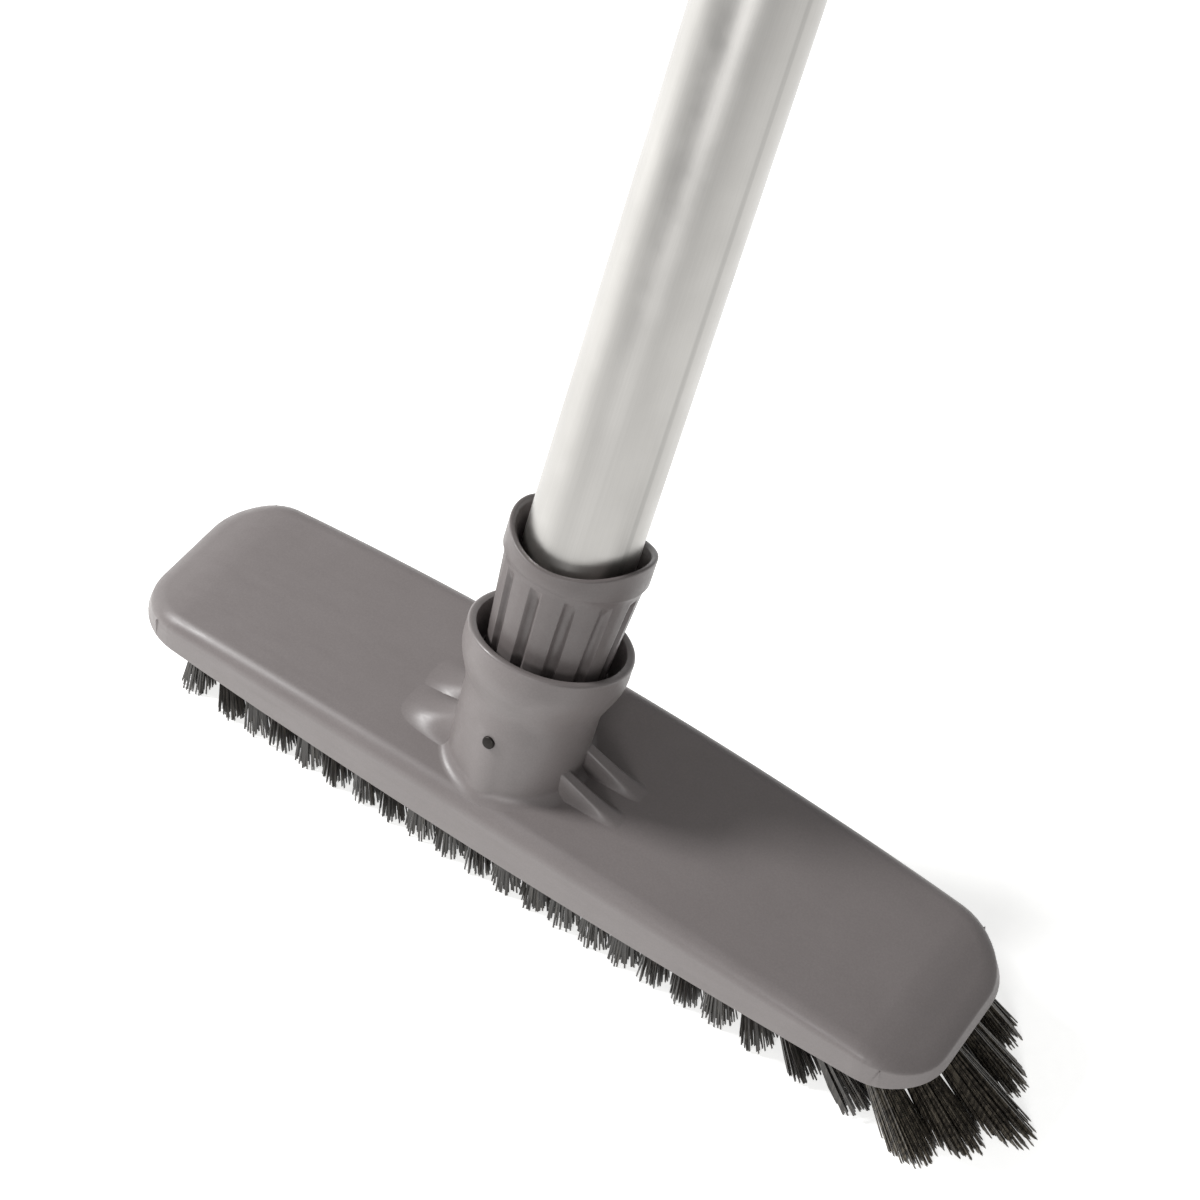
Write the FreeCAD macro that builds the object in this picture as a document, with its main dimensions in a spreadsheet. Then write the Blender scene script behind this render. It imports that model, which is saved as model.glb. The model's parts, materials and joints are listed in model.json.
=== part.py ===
"""Scrubbing brush on a screwed aluminium pole, as a parametric FreeCAD document.

The frame: +X runs along the block towards the end with the flared tufts, +Y is the
side that the pole leans to, +Z is up, and the origin is the middle of the plane that
the trimmed bristle tips lie in. Millimetres and degrees throughout.
"""

import FreeCAD
import Part
import math
import os
import Sketcher
from FreeCAD import Placement, Rotation, Vector

# Driving dimensions. Each one is a cell of the sheet, under the same alias.
SIZES = {
    # block: plan outline at the rim
    "block_length": 220.0,
    "block_width": 52.0,
    "side_bow_radius": 2120.0,
    "corner_radius": 15.5,
    # block: heights above the tip plane and above the rim
    "rim_height": 20.0,
    "crown_height": 13.5,
    "shoulder_height": 8.5,
    "shoulder_run": 13.0,
    "end_lip_height": 3.0,
    "skirt_draft": 5.0,
    "shoulder_blend_radius": 25.0,
    "top_edge_radius": 4.0,
    # walls round the recess for the bristle plate, and the hollows above it
    "shell_wall": 2.6,
    "end_wall": 11.0,
    "recess_depth": 5.3,
    "recess_corner": 12.5,
    "inner_hollow_depth": 9.8,
    "outer_hollow_depth": 8.0,
    "hollow_side_wall": 11.0,
    "hollow_rib": 3.0,
    # bristle plate
    "plate_gap": 0.1,
    "flange_thickness": 1.2,
    "flange_inset": 0.7,
    # tufts: the outer row stands side_margin inside the block's side
    "tuft_pitch": 8.2,
    "side_margin": 8.5,
    "hole_radius": 2.3,
    "hole_floor": 0.9,
    "root_gap": 0.05,
    "tip_radius": 3.2,
    # tufts at the two ends
    "end_margin": 15.5,
    "end_clearance": 27.9,
    "end_side_margin": 11.6,
    "end_tuft_sweep": 0.6,
    "flare_angle": 58.0,
    "flare_tip_radius": 4.2,
    "flare_drop": 5.0,
    "splay_angle": 5.0,
    "flare_sweep": 8.0,
    "left_lean": 9.0,
    "left_splay_angle": 27.0,
    # flat wire anchors in the tuft holes
    "anchor_length": 4.2,
    "anchor_thickness": 0.4,
    "anchor_height": 1.6,
    "anchor_gap": 0.05,
    # plate screws
    "screw_radius": 1.5,
    "screw_head_radius": 2.9,
    "screw_head_height": 1.8,
    "screw_length": 9.4,
    "screw_point": 1.5,
    "screw_gap": 0.1,
    "slot_width": 0.8,
    "slot_depth": 0.8,
    # socket boss, measured along its own axis from the block's top
    "boss_x": -7.0,
    "boss_y": -6.0,
    "boss_tilt": 24.5,
    "boss_wall": 3.6,
    "boss_root": 8.0,
    "bell_start": 15.0,
    "bell_end": 27.0,
    "mouth_wall": 2.0,
    "mouth_height": 31.5,
    "mouth_flare": 3.2,
    "mouth_floor": 22.5,
    "mouth_floor_play": 1.4,
    # gussets at the foot of the boss
    "gusset_reach": 29.0,
    "gusset_top_reach": 12.0,
    "gusset_rise": 7.5,
    "gusset_toe": 0.5,
    "gusset_thickness": 3.2,
    "gusset_spacing": 8.8,
    "gusset_middle": -3.4,
    # threaded bush in the boss
    "bush_radius": 12.0,
    "bush_bottom": -2.0,
    "bush_gap": 0.03,
    "bush_top_gap": 0.2,
    # thread
    "thread_pitch": 5.08,
    "thread_gap": 0.25,
    "ridge_root_width": 2.5,
    "ridge_crest_width": 1.4,
    "ridge_sink": 0.2,
    "ridge_margin": 2.0,
    "male_core": 7.7,
    "male_crest": 9.45,
    "male_bottom": 0.5,
    # lock pin of the bush
    "lock_pin_radius": 1.5,
    "lock_pin_height": 9.0,
    "lock_pin_depth": 1.5,
    # washer under the collar's shoulder
    "washer_thickness": 2.0,
    "washer_play": 0.45,
    "washer_overhang": 0.4,
    "washer_gap": 0.1,
    # ribbed collar: walls outside the pole
    "foot_wall": 1.1,
    "neck_wall": 2.9,
    "rim_wall": 3.8,
    "lead_wall": 2.3,
    "collar_band_start": 50.5,
    "collar_band_step": 1.0,
    "collar_top": 59.0,
    "collar_saddle": 4.0,
    "collar_lead": 4.5,
    "rib_count": 12.0,
    "groove_width": 2.8,
    "groove_depth": 1.3,
    "groove_end_gap": 1.5,
    # pole
    "pole_radius": 12.7,
    "pole_wall": 1.25,
    "pole_bottom": 28.3,
    "pole_length": 450.0,
    "pole_gap": 0.05,
    # rivet through the collar and the pole
    "rivet_radius": 1.6,
    "rivet_head_radius": 3.0,
    "rivet_head_height": 1.1,
    "rivet_height": 47.0,
    "rivet_seat_wall": 2.2,
    "rivet_tail": 1.2,
    "rivet_gap": 0.03,
    "rivet_head_gap": 0.3,
    # end cap
    "cap_plug_length": 18.0,
    "cap_head_length": 24.0,
    "cap_overhang": 0.6,
    "cap_collar": 5.0,
    "cap_flat": 14.0,
    "cap_round": 6.0,
    "cap_gap": 0.05,
    "hang_hole_radius": 4.0,
    "hang_hole_drop": 10.0,
}

# Sizes that follow from the driving ones, as expressions of the sheet's aliases.
RECESS_LENGTH = "block_length - 2 * end_wall"
ROW_PITCH = "( block_width / 2 - side_margin ) / 2"
END_TUFT_PITCH = "( block_width / 2 - end_side_margin ) / 2"
HOLE_DEPTH = "flange_thickness + recess_depth - plate_gap - hole_floor"
PLATE_FACE = "rim_height - flange_thickness"
BLOCK_TOP = "rim_height + crown_height"
BOSS_RADIUS = "bush_radius + boss_wall"
FOOT_RADIUS = "pole_radius + foot_wall"
NECK_RADIUS = "pole_radius + neck_wall"
RIM_RADIUS = "pole_radius + rim_wall"
MOUTH_BORE = f"{FOOT_RADIUS} + mouth_flare"
MOUTH_RADIUS = f"{MOUTH_BORE} + mouth_wall"
SHOULDER = "mouth_floor + washer_thickness + 2 * washer_gap"
FEMALE_BORE = "male_crest + thread_gap"
FEMALE_CREST = "male_core + thread_gap"

SCREW_COLUMNS = (3, 6, 9)  # columns of the middle row that hold a screw, not a tuft
ROWS = {
    "front_tufts": -2,
    "front_middle_tufts": -1,
    "centre_tufts": 0,
    "rear_middle_tufts": 1,
    "rear_tufts": 2,
}
END_ROWS = (-2, -1, 0, 1, 2)

doc = FreeCAD.newDocument("ScrubBrush")
sheet = doc.addObject("Spreadsheet::Sheet", "Sizes")
for row_number, (alias, number) in enumerate(SIZES.items(), start=1):
    sheet.set(f"A{row_number}", alias)
    sheet.set(f"B{row_number}", str(number))
    sheet.setAlias(f"B{row_number}", alias)
doc.recompute()


def size(expression):
    """Give the number that an expression of the sheet's aliases has now."""
    return float(sheet.evalExpression(expression))


def bound(expression):
    """Write an expression of bare aliases as one that any object can be bound to."""
    words = expression.replace("(", " ( ").replace(")", " ) ").split()
    return " ".join("Sizes." + word if word in SIZES else word for word in words)


def bind(thing, prop, expression):
    """Bind a property of an object to the sheet."""
    thing.setExpression(prop, bound(expression))


# --- helpers for bodies and sketches ----------------------------------------------


def new_body(name):
    """Start a PartDesign body whose label is its file's name."""
    body = doc.addObject("PartDesign::Body", name)
    body.Label = name
    return body


def on_boss_axis(thing):
    """Place a piece modelled upright about Z on the tilted axis of the boss."""
    thing.Placement = Placement(Vector(0, 0, 0), Rotation(Vector(-1, 0, 0), 1))
    bind(thing, "Placement.Base.x", "boss_x")
    bind(thing, "Placement.Base.y", "boss_y")
    bind(thing, "Placement.Base.z", BLOCK_TOP)
    bind(thing, "Placement.Rotation.Angle", "boss_tilt")


def new_sketch(body, name, role, height="0"):
    """Attach a sketch to one of the body's origin planes, lifted along its normal."""
    sketch = body.newObject("Sketcher::SketchObject", name)
    planes = [item for item in body.Origin.OriginFeatures if item.Role == role]
    sketch.AttachmentSupport = [(planes[0], "")]
    sketch.MapMode = "FlatFace"
    bind(sketch, "AttachmentOffset.Base.z", height)
    return sketch


def fix(sketch, kind, geometry, point, expression):
    """Hold one coordinate of a point of the sketch at an expression of the sheet."""
    value = size(expression)
    if abs(value) < 1e-9:
        axis = -2 if kind == "DistanceX" else -1
        sketch.addConstraint(
            Sketcher.Constraint("PointOnObject", geometry, point, axis))
        return
    index = sketch.addConstraint(
        Sketcher.Constraint(kind, -1, 1, geometry, point, value))
    sketch.setExpression(f"Constraints[{index}]", bound(expression))


def polygon(sketch, corners):
    """Draw a closed polygon whose corners are pairs of expressions."""
    points = [Vector(size(across), size(along), 0) for across, along in corners]
    first = sketch.GeometryCount
    count = len(points)
    for number in range(count):
        sketch.addGeometry(
            Part.LineSegment(points[number], points[(number + 1) % count]), False)
    for number in range(count):
        sketch.addConstraint(Sketcher.Constraint(
            "Coincident", first + number, 2, first + (number + 1) % count, 1))
    for number, (across, along) in enumerate(corners):
        fix(sketch, "DistanceX", first + number, 1, across)
        fix(sketch, "DistanceY", first + number, 1, along)


def rectangle(sketch, low, high):
    """Draw a rectangle between two opposite corners given as expressions."""
    polygon(sketch, [low, (high[0], low[1]), high, (low[0], high[1])])


def circle(sketch, across, along, radius):
    """Draw a circle from expressions of its centre and its radius."""
    index = sketch.addGeometry(
        Part.Circle(Vector(size(across), size(along), 0), Vector(0, 0, 1), size(radius)),
        False)
    fix(sketch, "DistanceX", index, 3, across)
    fix(sketch, "DistanceY", index, 3, along)
    held = sketch.addConstraint(Sketcher.Constraint("Radius", index, size(radius)))
    sketch.setExpression(f"Constraints[{held}]", bound(radius))


def bowed_outline(sketch, length, width, bow, corner):
    """Draw the block's plan: bowed long sides, straight ends, tangent corner arcs."""
    half, bow_radius, radius = size(length) / 2, size(bow), size(corner)
    bow_centre = bow_radius - size(width) / 2
    along = half - radius
    reach = math.sqrt((bow_radius - radius) ** 2 - along ** 2)
    side = bow_centre - reach
    swing = math.atan2(along, reach)
    quarter = math.pi / 2
    arcs = [
        (0, bow_centre, bow_radius, -quarter - swing, -quarter + swing),
        (along, side, radius, -quarter + swing, 0),
        (along, -side, radius, 0, quarter - swing),
        (0, -bow_centre, bow_radius, quarter - swing, quarter + swing),
        (-along, -side, radius, quarter + swing, 2 * quarter),
        (-along, side, radius, 2 * quarter, 3 * quarter - swing),
    ]
    made = []
    for x, y, arc_radius, start, end in arcs:
        whole = Part.Circle(Vector(x, y, 0), Vector(0, 0, 1), arc_radius)
        made.append(sketch.addGeometry(Part.ArcOfCircle(whole, start, end), False))
    front, right_front, right_rear, rear, left_rear, left_front = made
    right = sketch.addGeometry(
        Part.LineSegment(Vector(half, side, 0), Vector(half, -side, 0)), False)
    left = sketch.addGeometry(
        Part.LineSegment(Vector(-half, -side, 0), Vector(-half, side, 0)), False)
    loop = [front, right_front, right, right_rear, rear, left_rear, left, left_front]
    for number, edge in enumerate(loop):
        following = loop[(number + 1) % len(loop)]
        sketch.addConstraint(Sketcher.Constraint("Tangent", edge, 2, following, 1))
    sketch.addConstraint(Sketcher.Constraint("Vertical", right))
    sketch.addConstraint(Sketcher.Constraint("Vertical", left))
    for other in (right_rear, left_rear, left_front):
        sketch.addConstraint(Sketcher.Constraint("Equal", right_front, other))
    sketch.addConstraint(Sketcher.Constraint("Equal", front, rear))
    sketch.addConstraint(Sketcher.Constraint("PointOnObject", front, 3, -2))
    sketch.addConstraint(Sketcher.Constraint("Symmetric", front, 3, rear, 3, -1, 1))
    for geometry, expression in ((right_front, corner), (front, bow)):
        held = sketch.addConstraint(
            Sketcher.Constraint("Radius", geometry, size(expression)))
        sketch.setExpression(f"Constraints[{held}]", bound(expression))
    fix(sketch, "DistanceY", front, 3, f"( {bow} ) - ( {width} ) / 2")
    fix(sketch, "DistanceX", right, 1, f"( {length} ) / 2")
    fix(sketch, "DistanceX", left, 1, f"0 - ( {length} ) / 2")


def pad(body, sketch, length, midplane=False, down=False, draft=None):
    """Pad a sketch by an expression."""
    feature = body.newObject("PartDesign::Pad", sketch.Name + "_pad")
    feature.Profile = sketch
    feature.Midplane = midplane
    feature.Reversed = down
    bind(feature, "Length", length)
    if draft:
        bind(feature, "TaperAngle", draft)
    return feature


def cut(body, sketch, depth, midplane=False, upward=False):
    """Pocket a sketch by an expression and make sure that it removes something."""
    doc.recompute()
    before = body.Shape.Volume
    feature = body.newObject("PartDesign::Pocket", sketch.Name + "_pocket")
    feature.Profile = sketch
    feature.Midplane = midplane
    feature.Reversed = upward
    bind(feature, "Length", depth)
    doc.recompute()
    removed = before - body.Shape.Volume
    if removed < 1e-3:
        raise RuntimeError(f"{feature.Name} removes nothing")
    return feature


def spin(body, sketch, kind="PartDesign::Revolution"):
    """Revolve a half profile about its sketch's vertical axis."""
    feature = body.newObject(kind, sketch.Name + "_turned")
    feature.Profile = sketch
    feature.ReferenceAxis = (sketch, ["V_Axis"])
    feature.Angle = 360.0
    doc.recompute()
    return feature


def tilt_sketch(sketch):
    """Turn a sketch on the YZ plane so that its vertical axis is the boss's axis."""
    sketch.AttachmentOffset = Placement(Vector(0, 0, 0), Rotation(Vector(0, 0, -1), 1))
    bind(sketch, "AttachmentOffset.Base.x", "boss_y")
    bind(sketch, "AttachmentOffset.Base.y", BLOCK_TOP)
    bind(sketch, "AttachmentOffset.Base.z", "boss_x")
    bind(sketch, "AttachmentOffset.Rotation.Angle", "boss_tilt")


# --- the moulded shell --------------------------------------------------------------


def side_profile(sketch):
    """Draw all that lies above the block's crowned top, seen from the front.

    The crown is one arc through the two shoulders and the middle. A straight slope
    runs from each shoulder down to the lip at the end.
    """
    half = size("block_length") / 2
    shoulder = Vector(half - size("shoulder_run"), size("rim_height + shoulder_height"), 0)
    lip = Vector(half, size("rim_height + end_lip_height"), 0)
    middle = Vector(0, size("rim_height + crown_height"), 0)
    clear = 40.0
    top = Vector(half + clear, middle.y + clear, 0)
    beyond = Vector(half + clear, lip.y, 0)
    mirror = [Vector(-point.x, point.y, 0) for point in (shoulder, lip, top, beyond)]
    crown = sketch.addGeometry(Part.Arc(shoulder, middle, mirror[0]), False)
    path = [mirror[0], mirror[1], mirror[3], mirror[2], top, beyond, lip, shoulder]
    lines = []
    for start, end in zip(path, path[1:]):
        lines.append(sketch.addGeometry(Part.LineSegment(start, end), False))
    sketch.addConstraint(Sketcher.Constraint("Coincident", crown, 2, lines[0], 1))
    sketch.addConstraint(Sketcher.Constraint("Coincident", lines[-1], 2, crown, 1))
    for before, after in zip(lines, lines[1:]):
        sketch.addConstraint(Sketcher.Constraint("Coincident", before, 2, after, 1))
    half_text = "block_length / 2"
    places = {
        0: (f"shoulder_run - {half_text}", "rim_height + shoulder_height"),
        1: (f"0 - {half_text}", "rim_height + end_lip_height"),
        2: (f"0 - {half_text} - {clear}", "rim_height + end_lip_height"),
        3: (f"0 - {half_text} - {clear}", f"rim_height + crown_height + {clear}"),
        4: (f"{half_text} + {clear}", f"rim_height + crown_height + {clear}"),
        5: (f"{half_text} + {clear}", "rim_height + end_lip_height"),
        6: (half_text, "rim_height + end_lip_height"),
    }
    for number, (across, up) in places.items():
        fix(sketch, "DistanceX", lines[number], 1, across)
        fix(sketch, "DistanceY", lines[number], 1, up)
    fix(sketch, "DistanceX", crown, 1, f"{half_text} - shoulder_run")
    fix(sketch, "DistanceY", crown, 1, "rim_height + shoulder_height")
    fall = "( crown_height - shoulder_height )"
    run = f"( {half_text} - shoulder_run )"
    radius = f"( {run} * {run} + {fall} * {fall} ) / ( 2 * {fall} )"
    held = sketch.addConstraint(Sketcher.Constraint("Radius", crown, size(radius)))
    sketch.setExpression(f"Constraints[{held}]", bound(radius))


def shoulder_creases(shape):
    """Name the two edges where the crown meets the slopes at the ends."""
    shoulder = size("block_length / 2 - shoulder_run")
    return [f"Edge{number}" for number, edge in enumerate(shape.Edges, start=1)
            if abs(abs(edge.CenterOfMass.x) - shoulder) < 1e-3 and edge.BoundBox.ZLength < 1e-3]


def top_loop(shape):
    """Name the edges between the block's top and its skirt."""
    floor = size("rim_height + end_lip_height / 2")
    lip = size("block_length / 2 - shoulder_run / 2")
    names = []
    for number, edge in enumerate(shape.Edges, start=1):
        box = edge.BoundBox
        seam = box.XLength < 1e-3 and box.ZLength < 1e-3 and abs(box.Center.x) < lip
        if box.ZMin > floor and not seam:
            names.append(f"Edge{number}")
    return names


def gusset_profile(sketch):
    """Draw one sloping rib that runs out from the boss both ways along the block."""
    polygon(sketch, [
        ("boss_x - gusset_reach", f"{BLOCK_TOP} - shell_wall"),
        ("boss_x + gusset_reach", f"{BLOCK_TOP} - shell_wall"),
        ("boss_x + gusset_reach", f"{BLOCK_TOP} - gusset_toe"),
        ("boss_x + gusset_top_reach", f"{BLOCK_TOP} + gusset_rise"),
        ("boss_x - gusset_top_reach", f"{BLOCK_TOP} + gusset_rise"),
        ("boss_x - gusset_reach", f"{BLOCK_TOP} - gusset_toe"),
    ])


def hollow(body, name, start, end, depth):
    """Cut four weight-saving hollows, both sides of the rib on the centre line."""
    sketch = new_sketch(body, name, "XY_Plane", "rim_height")
    for low, high in ((start, end), (f"0 - {end}", f"0 - {start}")):
        for near, far in (
            ("hollow_rib / 2", "block_width / 2 - hollow_side_wall"),
            ("hollow_side_wall - block_width / 2", "0 - hollow_rib / 2"),
        ):
            rectangle(sketch, (low, near), (high, far))
    cut(body, sketch, depth, upward=True)


def screws():
    """Give the signed columns of the middle row that hold a screw."""
    held = [column for column in SCREW_COLUMNS if column < columns()]
    return [-column for column in reversed(held)] + held


def columns():
    """Count the tuft columns that fit on each side of the middle one."""
    return int(size("( block_length / 2 - end_clearance ) / tuft_pitch"))


def screw_circles(body, name, height, radius, depth):
    """Cut one round hole upwards for every plate screw."""
    sketch = new_sketch(body, name, "XY_Plane", height)
    for column in screws():
        circle(sketch, f"{column} * tuft_pitch", "0", radius)
    cut(body, sketch, depth, upward=True)


def block_shell():
    """Model the moulded top shell with its leaning boss."""
    body = new_body("block_shell")
    outline = new_sketch(body, "rim_outline", "XY_Plane", "rim_height")
    bowed_outline(outline, "block_length", "block_width", "side_bow_radius", "corner_radius")
    pad(body, outline, "crown_height + 2", draft="0 - skirt_draft")
    profile = new_sketch(body, "crown_profile", "XZ_Plane")
    side_profile(profile)
    crowned = cut(body, profile, "block_width * 2", midplane=True)
    blend = body.newObject("PartDesign::Fillet", "shoulder_blend")
    blend.Base = (crowned, shoulder_creases(crowned.Shape))
    bind(blend, "Radius", "shoulder_blend_radius")
    doc.recompute()
    rounded = body.newObject("PartDesign::Fillet", "top_edge")
    rounded.Base = (blend, top_loop(blend.Shape))
    bind(rounded, "Radius", "top_edge_radius")
    doc.recompute()

    for name, side in (("front_gusset", "+"), ("rear_gusset", "-")):
        shift = f"0 - gusset_middle {side} gusset_spacing / 2"
        rib = new_sketch(body, name, "XZ_Plane", shift)
        gusset_profile(rib)
        pad(body, rib, "gusset_thickness", midplane=True)

    boss = new_sketch(body, "boss_profile", "YZ_Plane")
    tilt_sketch(boss)
    polygon(boss, [
        ("0", "0 - boss_root"),
        (BOSS_RADIUS, "0 - boss_root"),
        (BOSS_RADIUS, "bell_start"),
        (MOUTH_RADIUS, "bell_end"),
        (MOUTH_RADIUS, "mouth_height"),
        ("0", "mouth_height"),
    ])
    spin(body, boss)

    recess = new_sketch(body, "plate_recess", "XY_Plane", "rim_height")
    bowed_outline(recess, RECESS_LENGTH, "block_width - 2 * shell_wall",
                  "side_bow_radius - shell_wall", "recess_corner")
    cut(body, recess, "recess_depth", upward=True)
    below = new_sketch(body, "under_rim", "XY_Plane", "rim_height")
    rectangle(below, ("0 - block_length", "0 - block_width"), ("block_length", "block_width"))
    cut(body, below, "rim_height")
    hollow(body, "inner_hollows", "3.5 * tuft_pitch", "5.5 * tuft_pitch", "inner_hollow_depth")
    hollow(body, "outer_hollows", "6.5 * tuft_pitch", "8.5 * tuft_pitch", "outer_hollow_depth")

    screw_circles(body, "screw_pilots", "rim_height", "screw_radius + screw_gap",
                  "screw_length - flange_thickness + 4 * screw_gap")

    socket = new_sketch(body, "socket_profile", "YZ_Plane")
    tilt_sketch(socket)
    polygon(socket, [
        ("0", "bush_bottom"),
        ("bush_radius", "bush_bottom"),
        ("bush_radius", "mouth_floor"),
        (f"{FOOT_RADIUS} + mouth_floor_play", "mouth_floor"),
        (MOUTH_BORE, "mouth_height"),
        (MOUTH_BORE, "mouth_height + 1"),
        ("0", "mouth_height + 1"),
    ])
    spin(body, socket, "PartDesign::Groove")
    return body


# --- bristle plate, tufts, anchors and screws ------------------------------------------


def end_tuft(side, row):
    """Give the root point and the direction of one tuft at an end of the block.

    side is 1 for the flared end and -1 for the plain end; row counts from the front.
    """
    root_x = size("block_length / 2 - end_margin") - size("end_tuft_sweep") * row * row
    root = Vector(side * root_x, row * size(END_TUFT_PITCH), size(PLATE_FACE))
    if side > 0:
        lean = size("flare_angle") - size("flare_drop") * abs(row)
        yaw = row * size("splay_angle") - size("flare_sweep")
    else:
        lean = size("left_lean")
        yaw = row * size("left_splay_angle")
    lean, yaw = math.radians(lean), math.radians(yaw)
    flat = Vector(side * math.cos(yaw), math.sin(yaw), 0)
    direction = flat * math.sin(lean) + Vector(0, 0, -math.cos(lean))
    return root, direction


def row_places(row):
    """Give the hole centres of one straight row of tufts."""
    places = []
    for column in range(-columns(), columns() + 1):
        if row == 0 and column in screws():
            continue
        places.append(Vector(column * size("tuft_pitch"), row * size(ROW_PITCH),
                             size(PLATE_FACE)))
    return places


def bristle_plate():
    """Model the drilled carrier plate with the thin flange under the rim."""
    body = new_body("plate_blank")
    flange = new_sketch(body, "flange_outline", "XY_Plane", PLATE_FACE)
    bowed_outline(flange, "block_length - 2 * flange_inset", "block_width - 2 * flange_inset",
                  "side_bow_radius - flange_inset", "corner_radius - flange_inset")
    pad(body, flange, "flange_thickness")
    core = new_sketch(body, "core_outline", "XY_Plane", "rim_height")
    bowed_outline(core, f"{RECESS_LENGTH} - 2 * plate_gap",
                  "block_width - 2 * ( shell_wall + plate_gap )",
                  "side_bow_radius - shell_wall - plate_gap", "recess_corner - plate_gap")
    pad(body, core, "recess_depth - plate_gap")
    screw_circles(body, "screw_holes", PLATE_FACE, "screw_radius + screw_gap",
                  "flange_thickness + recess_depth")
    screw_circles(body, "head_recesses", PLATE_FACE, "screw_head_radius + screw_gap",
                  "screw_head_height + screw_gap")
    drills = []
    radius, depth = size("hole_radius"), size(HOLE_DEPTH)
    for row in ROWS.values():
        for place in row_places(row):
            drills.append(Part.makeCylinder(radius, depth, place))
    for side in (-1, 1):
        for row in END_ROWS:
            root, direction = end_tuft(side, row)
            drills.append(Part.makeCylinder(radius, 2 * depth, root + direction * depth, -direction))
    return piece("bristle_plate", body.Shape.cut(drills))


def piece(name, shape, placement=None):
    """Add a finished shape to the document under its own label."""
    feature = doc.addObject("Part::Feature", name)
    feature.Label = name
    feature.Shape = shape.Solids[0] if len(shape.Solids) == 1 else shape
    if placement:
        feature.Placement = placement
    return feature


def tuft(length, tip, straight=0.0):
    """Model one upright tuft: a round root in its hole, spreading to the cut tips.

    The root's mouth is at the origin, the tips are at -length, and the slot at the
    top of the root is where the anchor sits. It stays straight for a stretch below
    the mouth where it leaves its hole at a slant.
    """
    root = size("hole_radius - root_gap")
    top = size(f"{HOLE_DEPTH} - root_gap")
    outline = [Vector(0, 0, -length), Vector(tip, 0, -length), Vector(root, 0, -straight),
               Vector(root, 0, top), Vector(0, 0, top)]
    face = Part.Face(Part.makePolygon(outline + outline[:1]))
    solid = face.revolve(Vector(0, 0, 0), Vector(0, 0, 1), 360)
    width = size("anchor_thickness + 2 * anchor_gap")
    height = size("anchor_height + 2 * anchor_gap")
    slot = Part.makeBox(4 * root, width, height + 1, Vector(-2 * root, -width / 2, top - height))
    return solid.cut(slot)


def anchor():
    """Model one flat wire anchor, placed as in an upright tuft."""
    length, thickness = size("anchor_length"), size("anchor_thickness")
    low = size(f"{HOLE_DEPTH} - root_gap - anchor_height - anchor_gap")
    corner = Vector(-length / 2, -thickness / 2, low)
    return Part.makeBox(length, thickness, size("anchor_height"), corner)


def stood(shape, root, direction):
    """Move an upright tuft or anchor to its root, turned so that it points along."""
    moved = shape.copy()
    moved.Placement = Placement(root, Rotation(Vector(0, 0, -1), direction))
    return moved


def tufts_and_anchors():
    """Model every row of tufts, the two end groups and all anchors."""
    free = size(PLATE_FACE)
    upright = tuft(free, size("tip_radius"))
    wire = anchor()
    down = Vector(0, 0, -1)
    wires = []
    for name, row in ROWS.items():
        solids = []
        for place in row_places(row):
            solids.append(stood(upright, place, down))
            wires.append(stood(wire, place, down))
        piece(name, Part.makeCompound(solids))
    for name, side, spread in (("left_end_tufts", -1, "tip_radius"),
                               ("right_end_tufts", 1, "flare_tip_radius")):
        solids = []
        for row in END_ROWS:
            root, direction = end_tuft(side, row)
            slant = -direction.z
            slope = math.tan(math.acos(slant))
            straight = size("hole_radius") * slope + 4 * size("root_gap")
            long_tuft = tuft(free / slant + size(spread) * slope, size(spread), straight)
            leaning = stood(long_tuft, root, direction)
            under = Part.makeBox(400, 400, 100, Vector(-200, -200, -100))
            solids.append(leaning.cut(under))
            wires.append(stood(wire, root, direction))
        piece(name, Part.makeCompound(solids))
    piece("tuft_anchors", Part.makeCompound(wires))


def plate_screws():
    """Model the six screws that hold the plate, heads flush with its underside."""
    head, shank = size("screw_head_radius"), size("screw_radius")
    straight, point = size("screw_length - screw_point"), size("screw_point")
    solids = []
    for column in screws():
        foot = Vector(column * size("tuft_pitch"), 0, size(PLATE_FACE))
        top = Part.makeCylinder(head, size("screw_head_height"), foot)
        stem = Part.makeCylinder(shank, straight, foot)
        tip = Part.makeCone(shank, shank / 3, point, foot + Vector(0, 0, straight))
        slot = Part.makeBox(2 * head, size("slot_width"), size("slot_depth"),
                            foot + Vector(-head, -size("slot_width") / 2, 0))
        solids.append(top.fuse([stem, tip]).cut(slot))
    piece("plate_screws", Part.makeCompound(solids))


# --- bush, lock pin, washer ---------------------------------------------------------------


def thread_ridge(body, name, core, crest, start, height):
    """Add a helical thread ridge to an upright body, rooted a little below its core."""
    sketch = new_sketch(body, name, "XZ_Plane")
    inward = "-" if size(crest) > size(core) else "+"
    root = f"{core} {inward} ridge_sink"
    polygon(sketch, [
        (root, f"{start} - ridge_root_width / 2"),
        (crest, f"{start} - ridge_crest_width / 2"),
        (crest, f"{start} + ridge_crest_width / 2"),
        (root, f"{start} + ridge_root_width / 2"),
    ])
    ridge = body.newObject("PartDesign::AdditiveHelix", name + "_thread")
    ridge.Profile = sketch
    ridge.ReferenceAxis = (sketch, ["V_Axis"])
    ridge.Mode = "pitch-height-angle"
    bind(ridge, "Pitch", "thread_pitch")
    bind(ridge, "Height", height)
    ridge.Angle = 0.0
    ridge.LeftHanded = False
    ridge.Reversed = False
    doc.recompute()
    return ridge


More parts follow.
